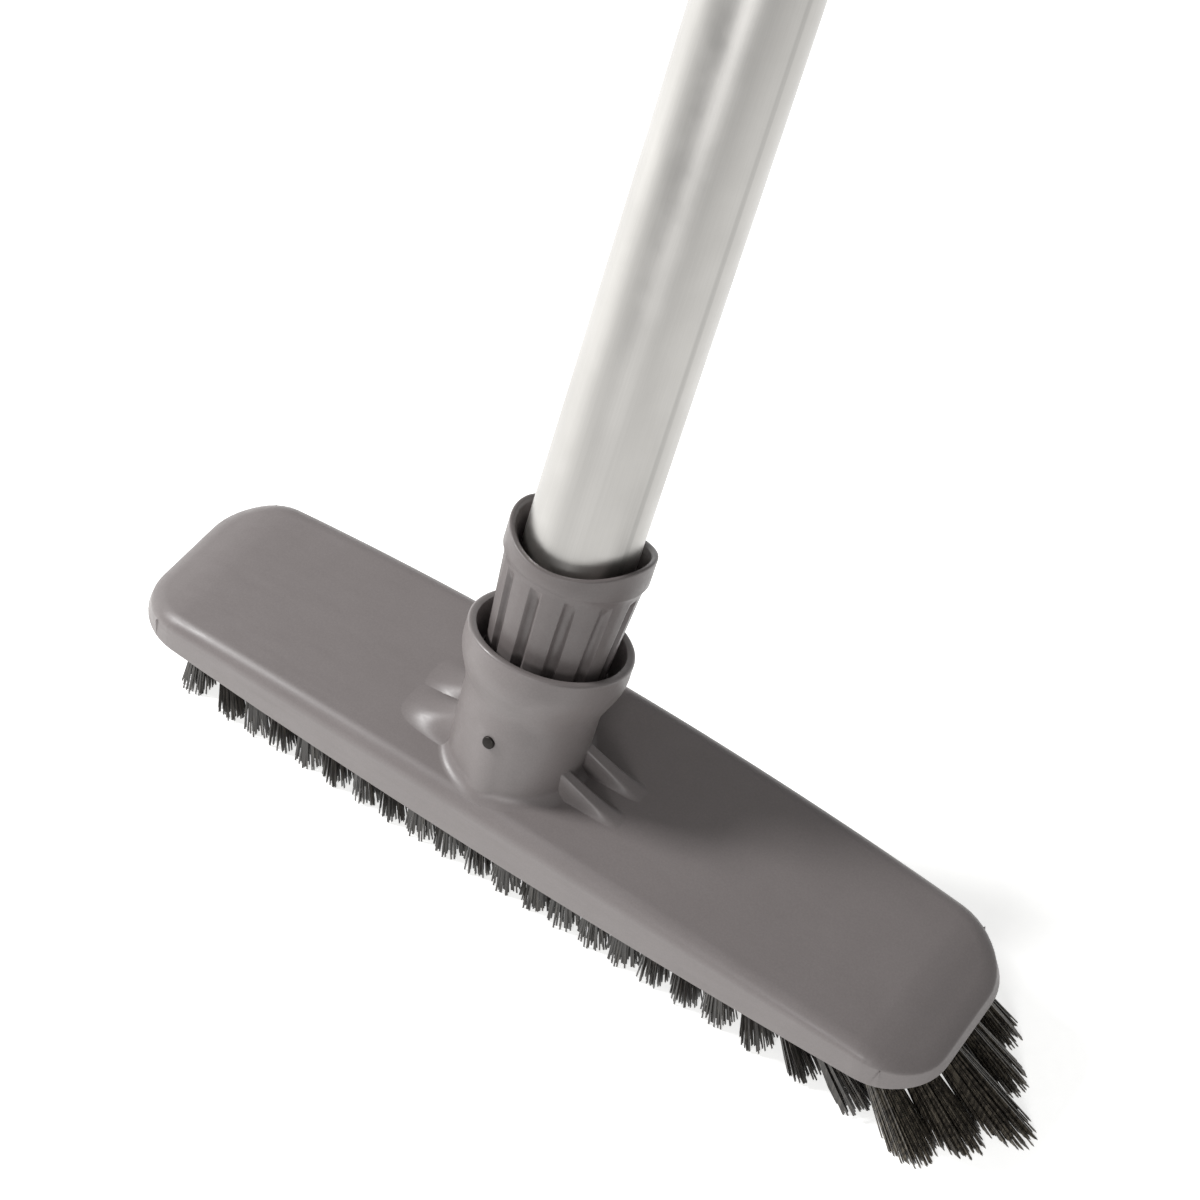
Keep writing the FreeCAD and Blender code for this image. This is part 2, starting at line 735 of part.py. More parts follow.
def socket_bush():
    """Model the threaded bush that sits in the boss."""
    body = new_body("socket_bush")
    profile = new_sketch(body, "bush_profile", "XZ_Plane")
    polygon(profile, [
        (FEMALE_BORE, "bush_bottom + 2 * bush_gap"),
        ("bush_radius - bush_gap", "bush_bottom + 2 * bush_gap"),
        ("bush_radius - bush_gap", "mouth_floor - bush_top_gap"),
        (FEMALE_BORE, "mouth_floor - bush_top_gap"),
    ])
    spin(body, profile)
    thread_ridge(body, "female_ridge", FEMALE_BORE, FEMALE_CREST,
                 "male_bottom + ridge_margin - thread_pitch / 2",
                 "mouth_floor - male_bottom - 2 * ridge_margin + thread_pitch / 2")
    on_boss_axis(body)
    return body


def lock_pin_space(gap):
    """Give the round space of the lock pin, in the upright frame of the boss."""
    start = size("bush_radius - lock_pin_depth")
    reach = size(BOSS_RADIUS) - start
    height = size("lock_pin_height")
    return Part.makeCylinder(size("lock_pin_radius") + gap, reach,
                             Vector(0, -start, height), Vector(0, -1, 0))


def washer():
    """Model the sealing washer that rides under the collar's shoulder."""
    body = new_body("collar_washer")
    inner, outer = "male_crest + washer_play", f"{FOOT_RADIUS} + washer_overhang"
    profile = new_sketch(body, "washer_profile", "XZ_Plane")
    polygon(profile, [
        (inner, "mouth_floor + washer_gap"),
        (outer, "mouth_floor + washer_gap"),
        (outer, "mouth_floor + washer_gap + washer_thickness"),
        (inner, "mouth_floor + washer_gap + washer_thickness"),
    ])
    spin(body, profile)
    on_boss_axis(body)
    return body


# --- collar, pole, rivet, cap -----------------------------------------------------------------


def thread_collar():
    """Model the ribbed collar with its male thread and the seat of the pole."""
    body = new_body("thread_collar")
    profile = new_sketch(body, "collar_profile", "XZ_Plane")
    polygon(profile, [
        ("0", "male_bottom"),
        ("male_core", "male_bottom"),
        ("male_core", SHOULDER),
        (FOOT_RADIUS, SHOULDER),
        (NECK_RADIUS, "collar_band_start"),
        (RIM_RADIUS, "collar_band_start + collar_band_step"),
        (RIM_RADIUS, "collar_top"),
        ("pole_radius + lead_wall", "collar_top"),
        ("pole_radius + pole_gap", "collar_top - collar_saddle - collar_lead"),
        ("pole_radius + pole_gap", "pole_bottom - pole_gap"),
        ("0", "pole_bottom - pole_gap"),
    ])
    spin(body, profile)
    thread_ridge(body, "male_ridge", "male_core", "male_crest",
                 "male_bottom + ridge_margin",
                 f"{SHOULDER} - male_bottom - 2.5 * ridge_margin")
    saddle = new_sketch(body, "rim_saddle", "XZ_Plane")
    half_chord = f"( {RIM_RADIUS} )"
    saddle_radius = (f"( {half_chord} * {half_chord} + collar_saddle * collar_saddle )"
                     " / ( 2 * collar_saddle )")
    circle(saddle, "0", f"collar_top - collar_saddle + {saddle_radius}", saddle_radius)
    cut(body, saddle, f"{half_chord} * 3", midplane=True)
    groove = new_sketch(body, "rib_groove", "XY_Plane", SHOULDER)
    rectangle(groove, (f"{FOOT_RADIUS} - groove_depth", "0 - groove_width / 2"),
              (f"{half_chord} + groove_depth", "groove_width / 2"))
    one = cut(body, groove, f"collar_band_start - ( {SHOULDER} ) - groove_end_gap", upward=True)
    around = body.newObject("PartDesign::PolarPattern", "ribs")
    around.Originals = [one]
    around.Axis = (groove, ["N_Axis"])
    around.Angle = 360.0
    bind(around, "Occurrences", "rib_count")
    body.Tip = around
    doc.recompute()
    on_boss_axis(body)
    return body


def boss_placement():
    """Give the placement of the boss's upright frame."""
    base = Vector(size("boss_x"), size("boss_y"), size(BLOCK_TOP))
    return Placement(base, Rotation(Vector(-1, 0, 0), size("boss_tilt")))


def rivet_space(gap, start, length):
    """Give a round space along the rivet's line at the back of the collar."""
    return Part.makeCylinder(size("rivet_radius") + gap, length,
                             Vector(0, start, size("rivet_height")), Vector(0, 1, 0))


def rivet_head(gap, height):
    """Give the round space of the rivet's head, seated on the collar's ribs."""
    return Part.makeCylinder(size("rivet_head_radius") + gap, height,
                             Vector(0, size("pole_radius + rivet_seat_wall"),
                                    size("rivet_height")),
                             Vector(0, 1, 0))


def rivet():
    """Model the blind rivet that ties the pole to the collar."""
    seat = size("pole_radius + rivet_seat_wall")
    inside = size("pole_radius - pole_wall - rivet_tail")
    stem = rivet_space(0, inside, seat - inside + size("rivet_head_height") / 2)
    head = rivet_head(0, size("rivet_head_height"))
    rim = [edge for edge in head.Edges
           if abs(edge.BoundBox.Center.y - seat - size("rivet_head_height")) < 1e-6
           and edge.Curve.TypeId == "Part::GeomCircle"]
    return stem.fuse(head.makeFillet(size("rivet_head_height") * 0.6, rim))


def pole_tube():
    """Model the drawn aluminium tube, upright."""
    outer, inner = size("pole_radius"), size("pole_radius - pole_wall")
    base = Vector(0, 0, size("pole_bottom"))
    tube = Part.makeCylinder(outer, size("pole_length"), base)
    return tube.cut(Part.makeCylinder(inner, size("pole_length"), base))


def end_cap():
    """Model the cap: a plug in the tube, a flattened head and a hanging hole."""
    top = size("pole_bottom + pole_length")
    plug_length, head_length = size("cap_plug_length"), size("cap_head_length")
    radius, flat = size("pole_radius + cap_overhang"), size("cap_flat")
    seat = top + size("cap_gap")
    plug = Part.makeCylinder(size("pole_radius - pole_wall - cap_gap"), plug_length + flat / 2,
                             Vector(0, 0, top - plug_length))
    head = Part.makeCylinder(radius, head_length, Vector(0, 0, seat))
    crown = [edge for edge in head.Edges
             if abs(edge.BoundBox.ZMin - seat - head_length) < 1e-6]
    head = head.makeFillet(size("cap_round"), crown)
    for corner in (flat / 2, -flat / 2 - radius):
        slab = Part.makeBox(radius, 4 * radius, head_length,
                            Vector(corner, -2 * radius, seat + size("cap_collar")))
        head = head.cut(slab)
    hole = Part.makeCylinder(size("hang_hole_radius"), 4 * radius,
                             Vector(-2 * radius, 0, top + head_length - size("hang_hole_drop")),
                             Vector(1, 0, 0))
    return plug.fuse(head).cut(hole)


def main():
    """Build every piece, check it and write one file each."""
    shell = block_shell()
    bristle_plate()
    tufts_and_anchors()
    plate_screws()
    bush = socket_bush()
    washer()
    collar = thread_collar()
    doc.recompute()
    place = boss_placement()

    pin_hole = lock_pin_space(size("bush_gap"))
    pin_hole.Placement = place
    piece("bush_lock_pin", lock_pin_space(0), place)
    rivet_hole = rivet_space(size("rivet_gap"), size("pole_radius") / 2, size("pole_radius"))
    piece("collar_rivet", rivet(), place)
    piece("pole_tube", pole_tube().cut(rivet_hole), place)
    piece("pole_end_cap", end_cap(), place)
    head_space = rivet_head(size("rivet_head_gap"), size("rim_wall"))
    for space in (rivet_hole, head_space):
        space.Placement = place

    finished = {
        "block_shell": shell.Shape.cut(pin_hole),
        "socket_bush": bush.Shape.cut(pin_hole),
        "thread_collar": collar.Shape.cut([rivet_hole, head_space]),
    }
    for name, shape in finished.items():
        doc.getObject(name).Label = name + "_blank"
        piece(name, shape)
    doc.recompute()

    broken = [item.Label for item in doc.Objects
              if "Invalid" in item.State or "Error" in item.State]
    if broken:
        raise RuntimeError(f"not computed: {broken}")
    os.makedirs("parts", exist_ok=True)
    nodes = [
        "block_shell", "bristle_plate", "plate_screws", *ROWS, "left_end_tufts",
        "right_end_tufts", "tuft_anchors", "socket_bush", "bush_lock_pin",
        "collar_washer", "thread_collar", "collar_rivet", "pole_tube", "pole_end_cap",
    ]
    for name in nodes:
        shape = doc.getObjectsByLabel(name)[0].Shape
        if shape.isNull() or not shape.isValid():
            raise RuntimeError(f"{name} has no valid shape")
        print(f"{name}: {len(shape.Solids)} solids, {shape.Volume:.0f} mm3")
        shape.exportStep(f"parts/{name}.step")


main()
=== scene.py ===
import json
import logging
import math
import random
from dataclasses import dataclass
from enum import Enum
from typing import Sequence

import bmesh
import bpy
from mathutils import Matrix, Vector

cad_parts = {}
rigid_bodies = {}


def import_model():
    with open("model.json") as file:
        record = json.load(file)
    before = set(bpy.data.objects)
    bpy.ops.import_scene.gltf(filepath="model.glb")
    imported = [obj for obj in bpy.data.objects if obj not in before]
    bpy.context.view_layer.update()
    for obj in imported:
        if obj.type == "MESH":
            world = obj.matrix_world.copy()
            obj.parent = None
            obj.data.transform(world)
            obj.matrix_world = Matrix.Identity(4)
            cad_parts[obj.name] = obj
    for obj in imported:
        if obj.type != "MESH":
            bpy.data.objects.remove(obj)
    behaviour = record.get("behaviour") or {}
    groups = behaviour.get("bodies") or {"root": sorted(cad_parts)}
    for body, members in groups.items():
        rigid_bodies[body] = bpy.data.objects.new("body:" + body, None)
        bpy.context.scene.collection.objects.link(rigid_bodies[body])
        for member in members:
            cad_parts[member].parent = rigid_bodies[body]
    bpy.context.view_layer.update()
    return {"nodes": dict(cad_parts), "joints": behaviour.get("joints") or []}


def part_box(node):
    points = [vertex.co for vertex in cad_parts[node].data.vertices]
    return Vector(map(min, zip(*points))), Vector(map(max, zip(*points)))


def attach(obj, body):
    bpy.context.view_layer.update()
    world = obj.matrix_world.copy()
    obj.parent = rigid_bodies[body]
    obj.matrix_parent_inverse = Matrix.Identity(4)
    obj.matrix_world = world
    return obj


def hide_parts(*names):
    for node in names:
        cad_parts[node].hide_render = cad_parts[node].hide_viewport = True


for stray in list(bpy.data.objects):
    bpy.data.objects.remove(stray, do_unlink=True)
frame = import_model()

LOG = logging.getLogger("brush")
MM = 0.001
FULL_TURN = 2 * math.pi
ROUND_STEPS = 96  # facets round every lathed surface
Pair = tuple[float, float]
Mesh = bmesh.types.BMesh
Material = bpy.types.Material
Tree = bpy.types.NodeTree
Socket = bpy.types.NodeSocket


# --- colours and material nodes --------------------------------------------------------


def linear(code: str) -> tuple[float, float, float, float]:
    """Turn an sRGB hex colour into the linear colour that shaders use.

    Args:
        code: Six hex digits, such as "8a8786".

    Returns:
        Red, green, blue and an alpha of one.
    """
    channels = [int(code[place:place + 2], 16) / 255 for place in (0, 2, 4)]
    red, green, blue = [
        value / 12.92 if value <= 0.04045 else ((value + 0.055) / 1.055) ** 2.4
        for value in channels
    ]
    return red, green, blue, 1.0


def add_node(tree: Tree, kind: str, settings: dict | None = None,
             links: dict | None = None) -> bpy.types.Node:
    """Add a node, set its sockets and options, and link its inputs.

    Args:
        tree: Node tree that takes the node.
        kind: Blender's class name for the node.
        settings: Values by socket name, socket number or option name.
        links: Output sockets by input socket name or number.

    Returns:
        The new node.
    """
    node = tree.nodes.new(kind)
    for name, value in (settings or {}).items():
        if isinstance(name, int) or name in node.inputs:
            node.inputs[name].default_value = value
        else:
            setattr(node, name, value)
    for name, output in (links or {}).items():
        tree.links.new(output, node.inputs[name])
    return node


def start_material(name: str) -> tuple[Material, Tree, Socket]:
    """Make an empty node material.

    Args:
        name: The material's name.

    Returns:
        The material, its node tree and the object coordinates.
    """
    material = bpy.data.materials.new(name)
    material.use_nodes = True
    tree = material.node_tree
    tree.nodes.clear()
    return material, tree, add_node(tree, "ShaderNodeTexCoord").outputs["Object"]


def finish_material(tree: Tree, settings: dict, links: dict) -> None:
    """Close a material with a shader, set and linked as given, and its output."""
    shader = add_node(tree, "ShaderNodeBsdfPrincipled", settings, links)
    add_node(tree, "ShaderNodeOutputMaterial", None, {"Surface": shader.outputs["BSDF"]})


def noise(tree: Tree, place: Socket, size_mm: float, detail: float = 2.0,
          roughness: float = 0.5, stretch: Sequence[float] | None = None) -> Socket:
    """Add a noise pattern.

    Args:
        tree: Node tree that takes it.
        place: Coordinates in metres.
        size_mm: Size of its largest features.
        detail: Octaves of finer features.
        roughness: Strength of the finer features.
        stretch: Scale of the coordinates by axis, below one to draw the pattern out.

    Returns:
        The pattern's strength.
    """
    if stretch:
        place = add_node(tree, "ShaderNodeMapping", {"Scale": stretch},
                         {"Vector": place}).outputs["Vector"]
    return add_node(tree, "ShaderNodeTexNoise",
                    {"Scale": 1 / (size_mm * MM), "Detail": detail, "Roughness": roughness},
                    {"Vector": place}).outputs["Fac"]


def remap(tree: Tree, value: Socket, old: Pair, new: Pair = (0.0, 1.0),
          kind: str = "LINEAR") -> Socket:
    """Carry a value from an old span to a new one, each its least and greatest."""
    return add_node(tree, "ShaderNodeMapRange",
                    {"interpolation_type": kind, "From Min": old[0], "From Max": old[1],
                     "To Min": new[0], "To Max": new[1]}, {"Value": value}).outputs["Result"]


def tint(tree: Tree, share: Socket, colour: str, other: str) -> Socket:
    """Mix two hex colours by a share."""
    return add_node(tree, "ShaderNodeMix",
                    {"data_type": "RGBA", 6: linear(colour), 7: linear(other)},
                    {0: share}).outputs[2]


def shade(tree: Tree, colour: Socket, strength: Socket) -> Socket:
    """Multiply a colour by a strength."""
    return add_node(tree, "ShaderNodeMix",
                    {"data_type": "RGBA", "blend_type": "MULTIPLY", 0: 1.0},
                    {6: colour, 7: strength}).outputs[2]


def relief(tree: Tree, height: Socket, strength: float, depth_mm: float) -> Socket:
    """Raise a surface by a pattern, to a depth in millimetres."""
    return add_node(tree, "ShaderNodeBump", {"Strength": strength, "Distance": depth_mm * MM},
                    {"Height": height}).outputs["Normal"]


def maths(tree: Tree, operation: str, links: dict, settings: dict | None = None) -> Socket:
    """Work out a value from sockets and plain values, both by input number."""
    return add_node(tree, "ShaderNodeMath", {"operation": operation, **(settings or {})},
                    links).outputs["Value"]


@dataclass(frozen=True)
class MouldedPlastic:
    """Injection-moulded polymer: a spark-eroded skin with faint clouding and scuffs."""

    name: str
    colour: str
    clouded: str
    roughness: float = 0.5
    skin_mm: float = 0.45  # real pits are about 0.1 mm, drawn coarser so that they show
    skin_depth_mm: float = 0.02
    cloud_mm: float = 14.0
    rub_mm: float = 2.0
    scuff: float = 0.10

    def material(self) -> Material:
        """Build the node material.

        Returns:
            The finished material.
        """
        material, tree, place = start_material(self.name)
        cloud = noise(tree, place, self.cloud_mm, 4.0, 0.6)
        grain = noise(tree, place, self.skin_mm, 3.0, 0.7)
        # short rubs along the part, as handling leaves them
        rubs = noise(tree, place, self.rub_mm, 6.0, 0.75, (0.12, 1.0, 1.0))
        tone = tint(tree, cloud, self.colour, self.clouded)
        speck = remap(tree, grain, (0.35, 0.7), (0.94, 1.05))
        gloss = remap(tree, rubs, (0.3, 0.75),
                      (self.roughness - self.scuff, self.roughness + self.scuff))
        finish_material(tree, {"IOR": 1.49},
                        {"Base Color": shade(tree, tone, speck), "Roughness": gloss,
                         "Normal": relief(tree, grain, 0.6, self.skin_depth_mm)})
        return material


class Grain(Enum):
    """How a metal surface was worked."""

    DRAWN = "drawn"  # pulled through a die, fine lines along the axis
    PLATED = "plated"  # barrel plated, an even fine mottle
    HEADED = "headed"  # pressed to shape, faint rings of polish


@dataclass(frozen=True)
class WorkedMetal:
    """Bare or anodised metal whose lines follow how it was made."""

    name: str
    colour: str
    dulled: str
    roughness: float = 0.3
    grain: Grain = Grain.DRAWN
    line_mm: float = 0.35  # die lines are finer, drawn coarser so that they show
    line_depth_mm: float = 0.006
    smudge_mm: float = 22.0
    tilt: float = 0.0  # angle in radians from upright to the axis of the lines
    pivot: tuple[float, float, float] = (0.0, 0.0, 0.0)
    reflection_line_angle: float | None = None  # where a painted dark reflection line runs, round the axis

    def material(self) -> Material:
        """Build the node material.

        Returns:
            The finished material.
        """
        material, tree, place = start_material(self.name)
        moved = add_node(tree, "ShaderNodeVectorMath", {"operation": "SUBTRACT", 1: self.pivot},
                         {0: place})
        upright = add_node(tree, "ShaderNodeVectorRotate",
                           {"rotation_type": "X_AXIS", "Angle": self.tilt},
                           {"Vector": moved.outputs["Vector"]}).outputs["Vector"]
        stretch = {Grain.DRAWN: (1.0, 1.0, 0.006), Grain.PLATED: (1.0, 1.0, 1.0),
                   Grain.HEADED: (0.3, 0.3, 1.0)}[self.grain]
        lines = noise(tree, upright, self.line_mm, 4.0, 0.65, stretch)
        smudge = noise(tree, place, self.smudge_mm, 5.0, 0.6)
        tone = tint(tree, lines, self.colour, self.dulled)
        # a narrow darker line painted along the tube at a fixed angle round its axis: a painted
        # reflection
        if self.reflection_line_angle is not None:
            parts = add_node(tree, "ShaderNodeSeparateXYZ", None, {"Vector": upright})
            angle = maths(tree, "ARCTAN2", {0: parts.outputs["Y"], 1: parts.outputs["X"]})
            away = maths(tree, "SUBTRACT", {0: angle}, {1: self.reflection_line_angle})
            beside = maths(tree, "ABSOLUTE", {0: away})
            painted_reflection_line = remap(tree, beside, (0.03, 0.075), (0.86, 1.0), "SMOOTHSTEP")
            tone = shade(tree, tone, painted_reflection_line)
        gloss = remap(tree, smudge, (0.3, 0.7), (self.roughness - 0.06, self.roughness + 0.08))
        finish_material(tree, {"Metallic": 1.0},
                        {"Base Color": tone, "Roughness": gloss,
                         "Normal": relief(tree, lines, 0.5, self.line_depth_mm)})
        return material


@dataclass(frozen=True)
class BrushFibre:
    """Extruded polypropylene filament: dark, a little translucent, paler where it is worn."""

    name: str
    colour: str
    pale: str
    pale_share: float = 0.12
    fibre_mm: float = 0.45
    worn_mm: float = 4.0  # how far up from the tips the wear shows

    def material(self) -> Material:
        """Build the node material.

        Returns:
            The finished material.
        """
        material, tree, place = start_material(self.name)
        single = noise(tree, place, self.fibre_mm * 1.6, stretch=(1.0, 1.0, 0.04))
        pick = remap(tree, single, (0.62 - self.pale_share, 0.78 - self.pale_share))
        tone = tint(tree, pick, self.colour, self.pale)
        height = add_node(tree, "ShaderNodeSeparateXYZ", None, {"Vector": place}).outputs["Z"]
        worn = remap(tree, height, (0.0, self.worn_mm * MM), (1.25, 1.0))
        finish_material(tree, {"Roughness": 0.38, "IOR": 1.5},
                        {"Base Color": shade(tree, tone, worn)})
        return material


# --- mesh tools ------------------------------------------------------------------------


def lathe(profile: Sequence[Pair], steps: int = ROUND_STEPS, closed: bool = True) -> Mesh:
    """Spin a profile of (radius, height) points a full turn about Z.

    Args:
        profile: Points in order round the section.
        steps: Facets round the turn.
        closed: Whether the last point joins the first.

    Returns:
        The new mesh.
    """
    bm = bmesh.new()
    verts = [bm.verts.new((radius, 0, height)) for radius, height in profile]
    ends = verts[1:] + verts[:1] if closed else verts[1:]
    edges = [bm.edges.new(pair) for pair in zip(verts, ends)]
    bmesh.ops.spin(bm, geom=verts + edges, cent=(0, 0, 0), axis=(0, 0, 1), dvec=(0, 0, 0),
                   angle=FULL_TURN, steps=steps, use_merge=True, use_duplicate=False)
    tidy(bm)
    return bm


def tidy(bm: Mesh, gap: float = 1e-4) -> None:
    """Merge doubled vertices and turn every face outwards."""
    bmesh.ops.remove_doubles(bm, verts=bm.verts[:], dist=gap)
    bmesh.ops.dissolve_degenerate(bm, edges=bm.edges[:], dist=gap)
    bmesh.ops.recalc_face_normals(bm, faces=bm.faces[:])


def move(bm: Mesh, matrix: Matrix) -> None:
    """Carry a whole mesh through a matrix."""
    bmesh.ops.transform(bm, matrix=matrix, verts=bm.verts[:])


def cut(bm: Mesh, point: Sequence[float], normal: Sequence[float],
        clear: bool = False) -> None:
    """Slice a mesh along a plane, and drop what lies past it if clear is set."""
    bmesh.ops.bisect_plane(bm, geom=bm.verts[:] + bm.edges[:] + bm.faces[:], plane_co=point,
                           plane_no=normal, clear_outer=clear)


def join(bm: Mesh, part: Mesh) -> None:
    """Add a part to a mesh and free the part."""
    carrier = bpy.data.meshes.new("part")
    part.to_mesh(carrier)
    part.free()
    bm.from_mesh(carrier)
    bpy.data.meshes.remove(carrier)


def show(name: str, data: bpy.types.ID) -> bpy.types.Object:
    """Put an object with its data into the scene."""
    thing = bpy.data.objects.new(name, data)
    bpy.context.scene.collection.objects.link(thing)
    return thing


def arc(centre: Pair, radius: float, start: float, end: float, steps: int) -> list[Pair]:
    """Give points along an arc of a profile.

    Args:
        centre: Middle of the arc.
        radius: Radius of the arc.
        start: First angle in degrees from the radius axis.
        end: Last angle in degrees.
        steps: Number of spans.

    Returns:
        The points, both ends included.
    """
    turns = [math.radians(start + (end - start) * step / steps) for step in range(steps + 1)]
    return [(centre[0] + radius * math.cos(turn), centre[1] + radius * math.sin(turn))
            for turn in turns]


def clamp(value: float, low: float = 0.0, high: float = 1.0) -> float:
    """Hold a value between two others."""
    return min(max(value, low), high)


def blend(start: float, end: float, share: float) -> float:
    """Ease from start to end as share goes from 0 to 1."""
    share = clamp(share)
    return start + (end - start) * share * share * (3 - 2 * share)


def make_piece(name: str, bm: Mesh, material: Material, body: str,
               stands_for: str, sharp: float = 40.0) -> None:
    """Turn a mesh in millimetres into a finished piece that rides on a body.

    Args:
        name: Name of the piece.
        bm: Its mesh, in place, in millimetres. It is freed.
        material: Its finish.
        body: Body of the frame that carries it.
        stands_for: Node of the frame that it replaces.
        sharp: Fold in degrees past which shading breaks.
    """
    move(bm, Matrix.Scale(MM, 4))
    mesh = bpy.data.meshes.new(name)
    bm.to_mesh(mesh)
    bm.free()
    mesh.materials.append(material)
    mesh.shade_smooth()
    mesh.set_sharp_from_angle(angle=math.radians(sharp))
    piece = show(name, mesh)
    even = piece.modifiers.new("even_shading", "WEIGHTED_NORMAL")
    even.keep_sharp = True
    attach(piece, body)
    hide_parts(stands_for)
    LOG.info("%s: %d faces on %s", name, len(mesh.polygons), body)


def node_copy(name: str) -> Mesh:
    """Copy a node of the frame into a merged mesh in millimetres."""
    bm = bmesh.new()
    bm.from_mesh(frame["nodes"][name].data)
    move(bm, Matrix.Scale(1 / MM, 4))
    bmesh.ops.remove_doubles(bm, verts=bm.verts[:], dist=2e-3)
    return bm


def dress_node(name: str, material: Material) -> None:
    """Give a carried-over node of the frame its finish."""
    node = frame["nodes"][name]
    if not node.material_slots:
        node.data.materials.append(material)
    for place in node.material_slots:
        place.material = material
    LOG.info("%s keeps its frame mesh, finish %s", name, material.name)


# --- where the pole stands -------------------------------------------------------------


class PoleAxis:
    """The leaning axis that the socket, collar and pole share, read from the frame."""

    def __init__(self) -> None:
        """Read the axis from the turning joint."""
        turn = next(joint for joint in frame["joints"] if joint["name"] == "handle_turn")
        self.base = Vector(turn["pos_m"]) / MM
        self.direction = Vector(turn["axis"]).normalized()
        self.tilt = math.atan2(self.direction.y, self.direction.z)
        lean = Vector((0, 0, 1)).rotation_difference(self.direction).to_matrix().to_4x4()
        self.matrix = Matrix.Translation(self.base) @ lean

    def stand(self, bm: Mesh) -> None:
        """Move a mesh made about Z onto the leaning axis."""
        move(bm, self.matrix)

    def height_where(self, level: float, sideways: float) -> float:
        """Give the height along the axis at which a line beside it crosses a level.

        Args:
            level: World height in millimetres.
            sideways: Offset of the line across the lean.

        Returns:
            The height along the axis.
        """
        return (level - self.base.z + sideways * math.sin(self.tilt)) / math.cos(self.tilt)


# --- the block and its socket ----------------------------------------------------------


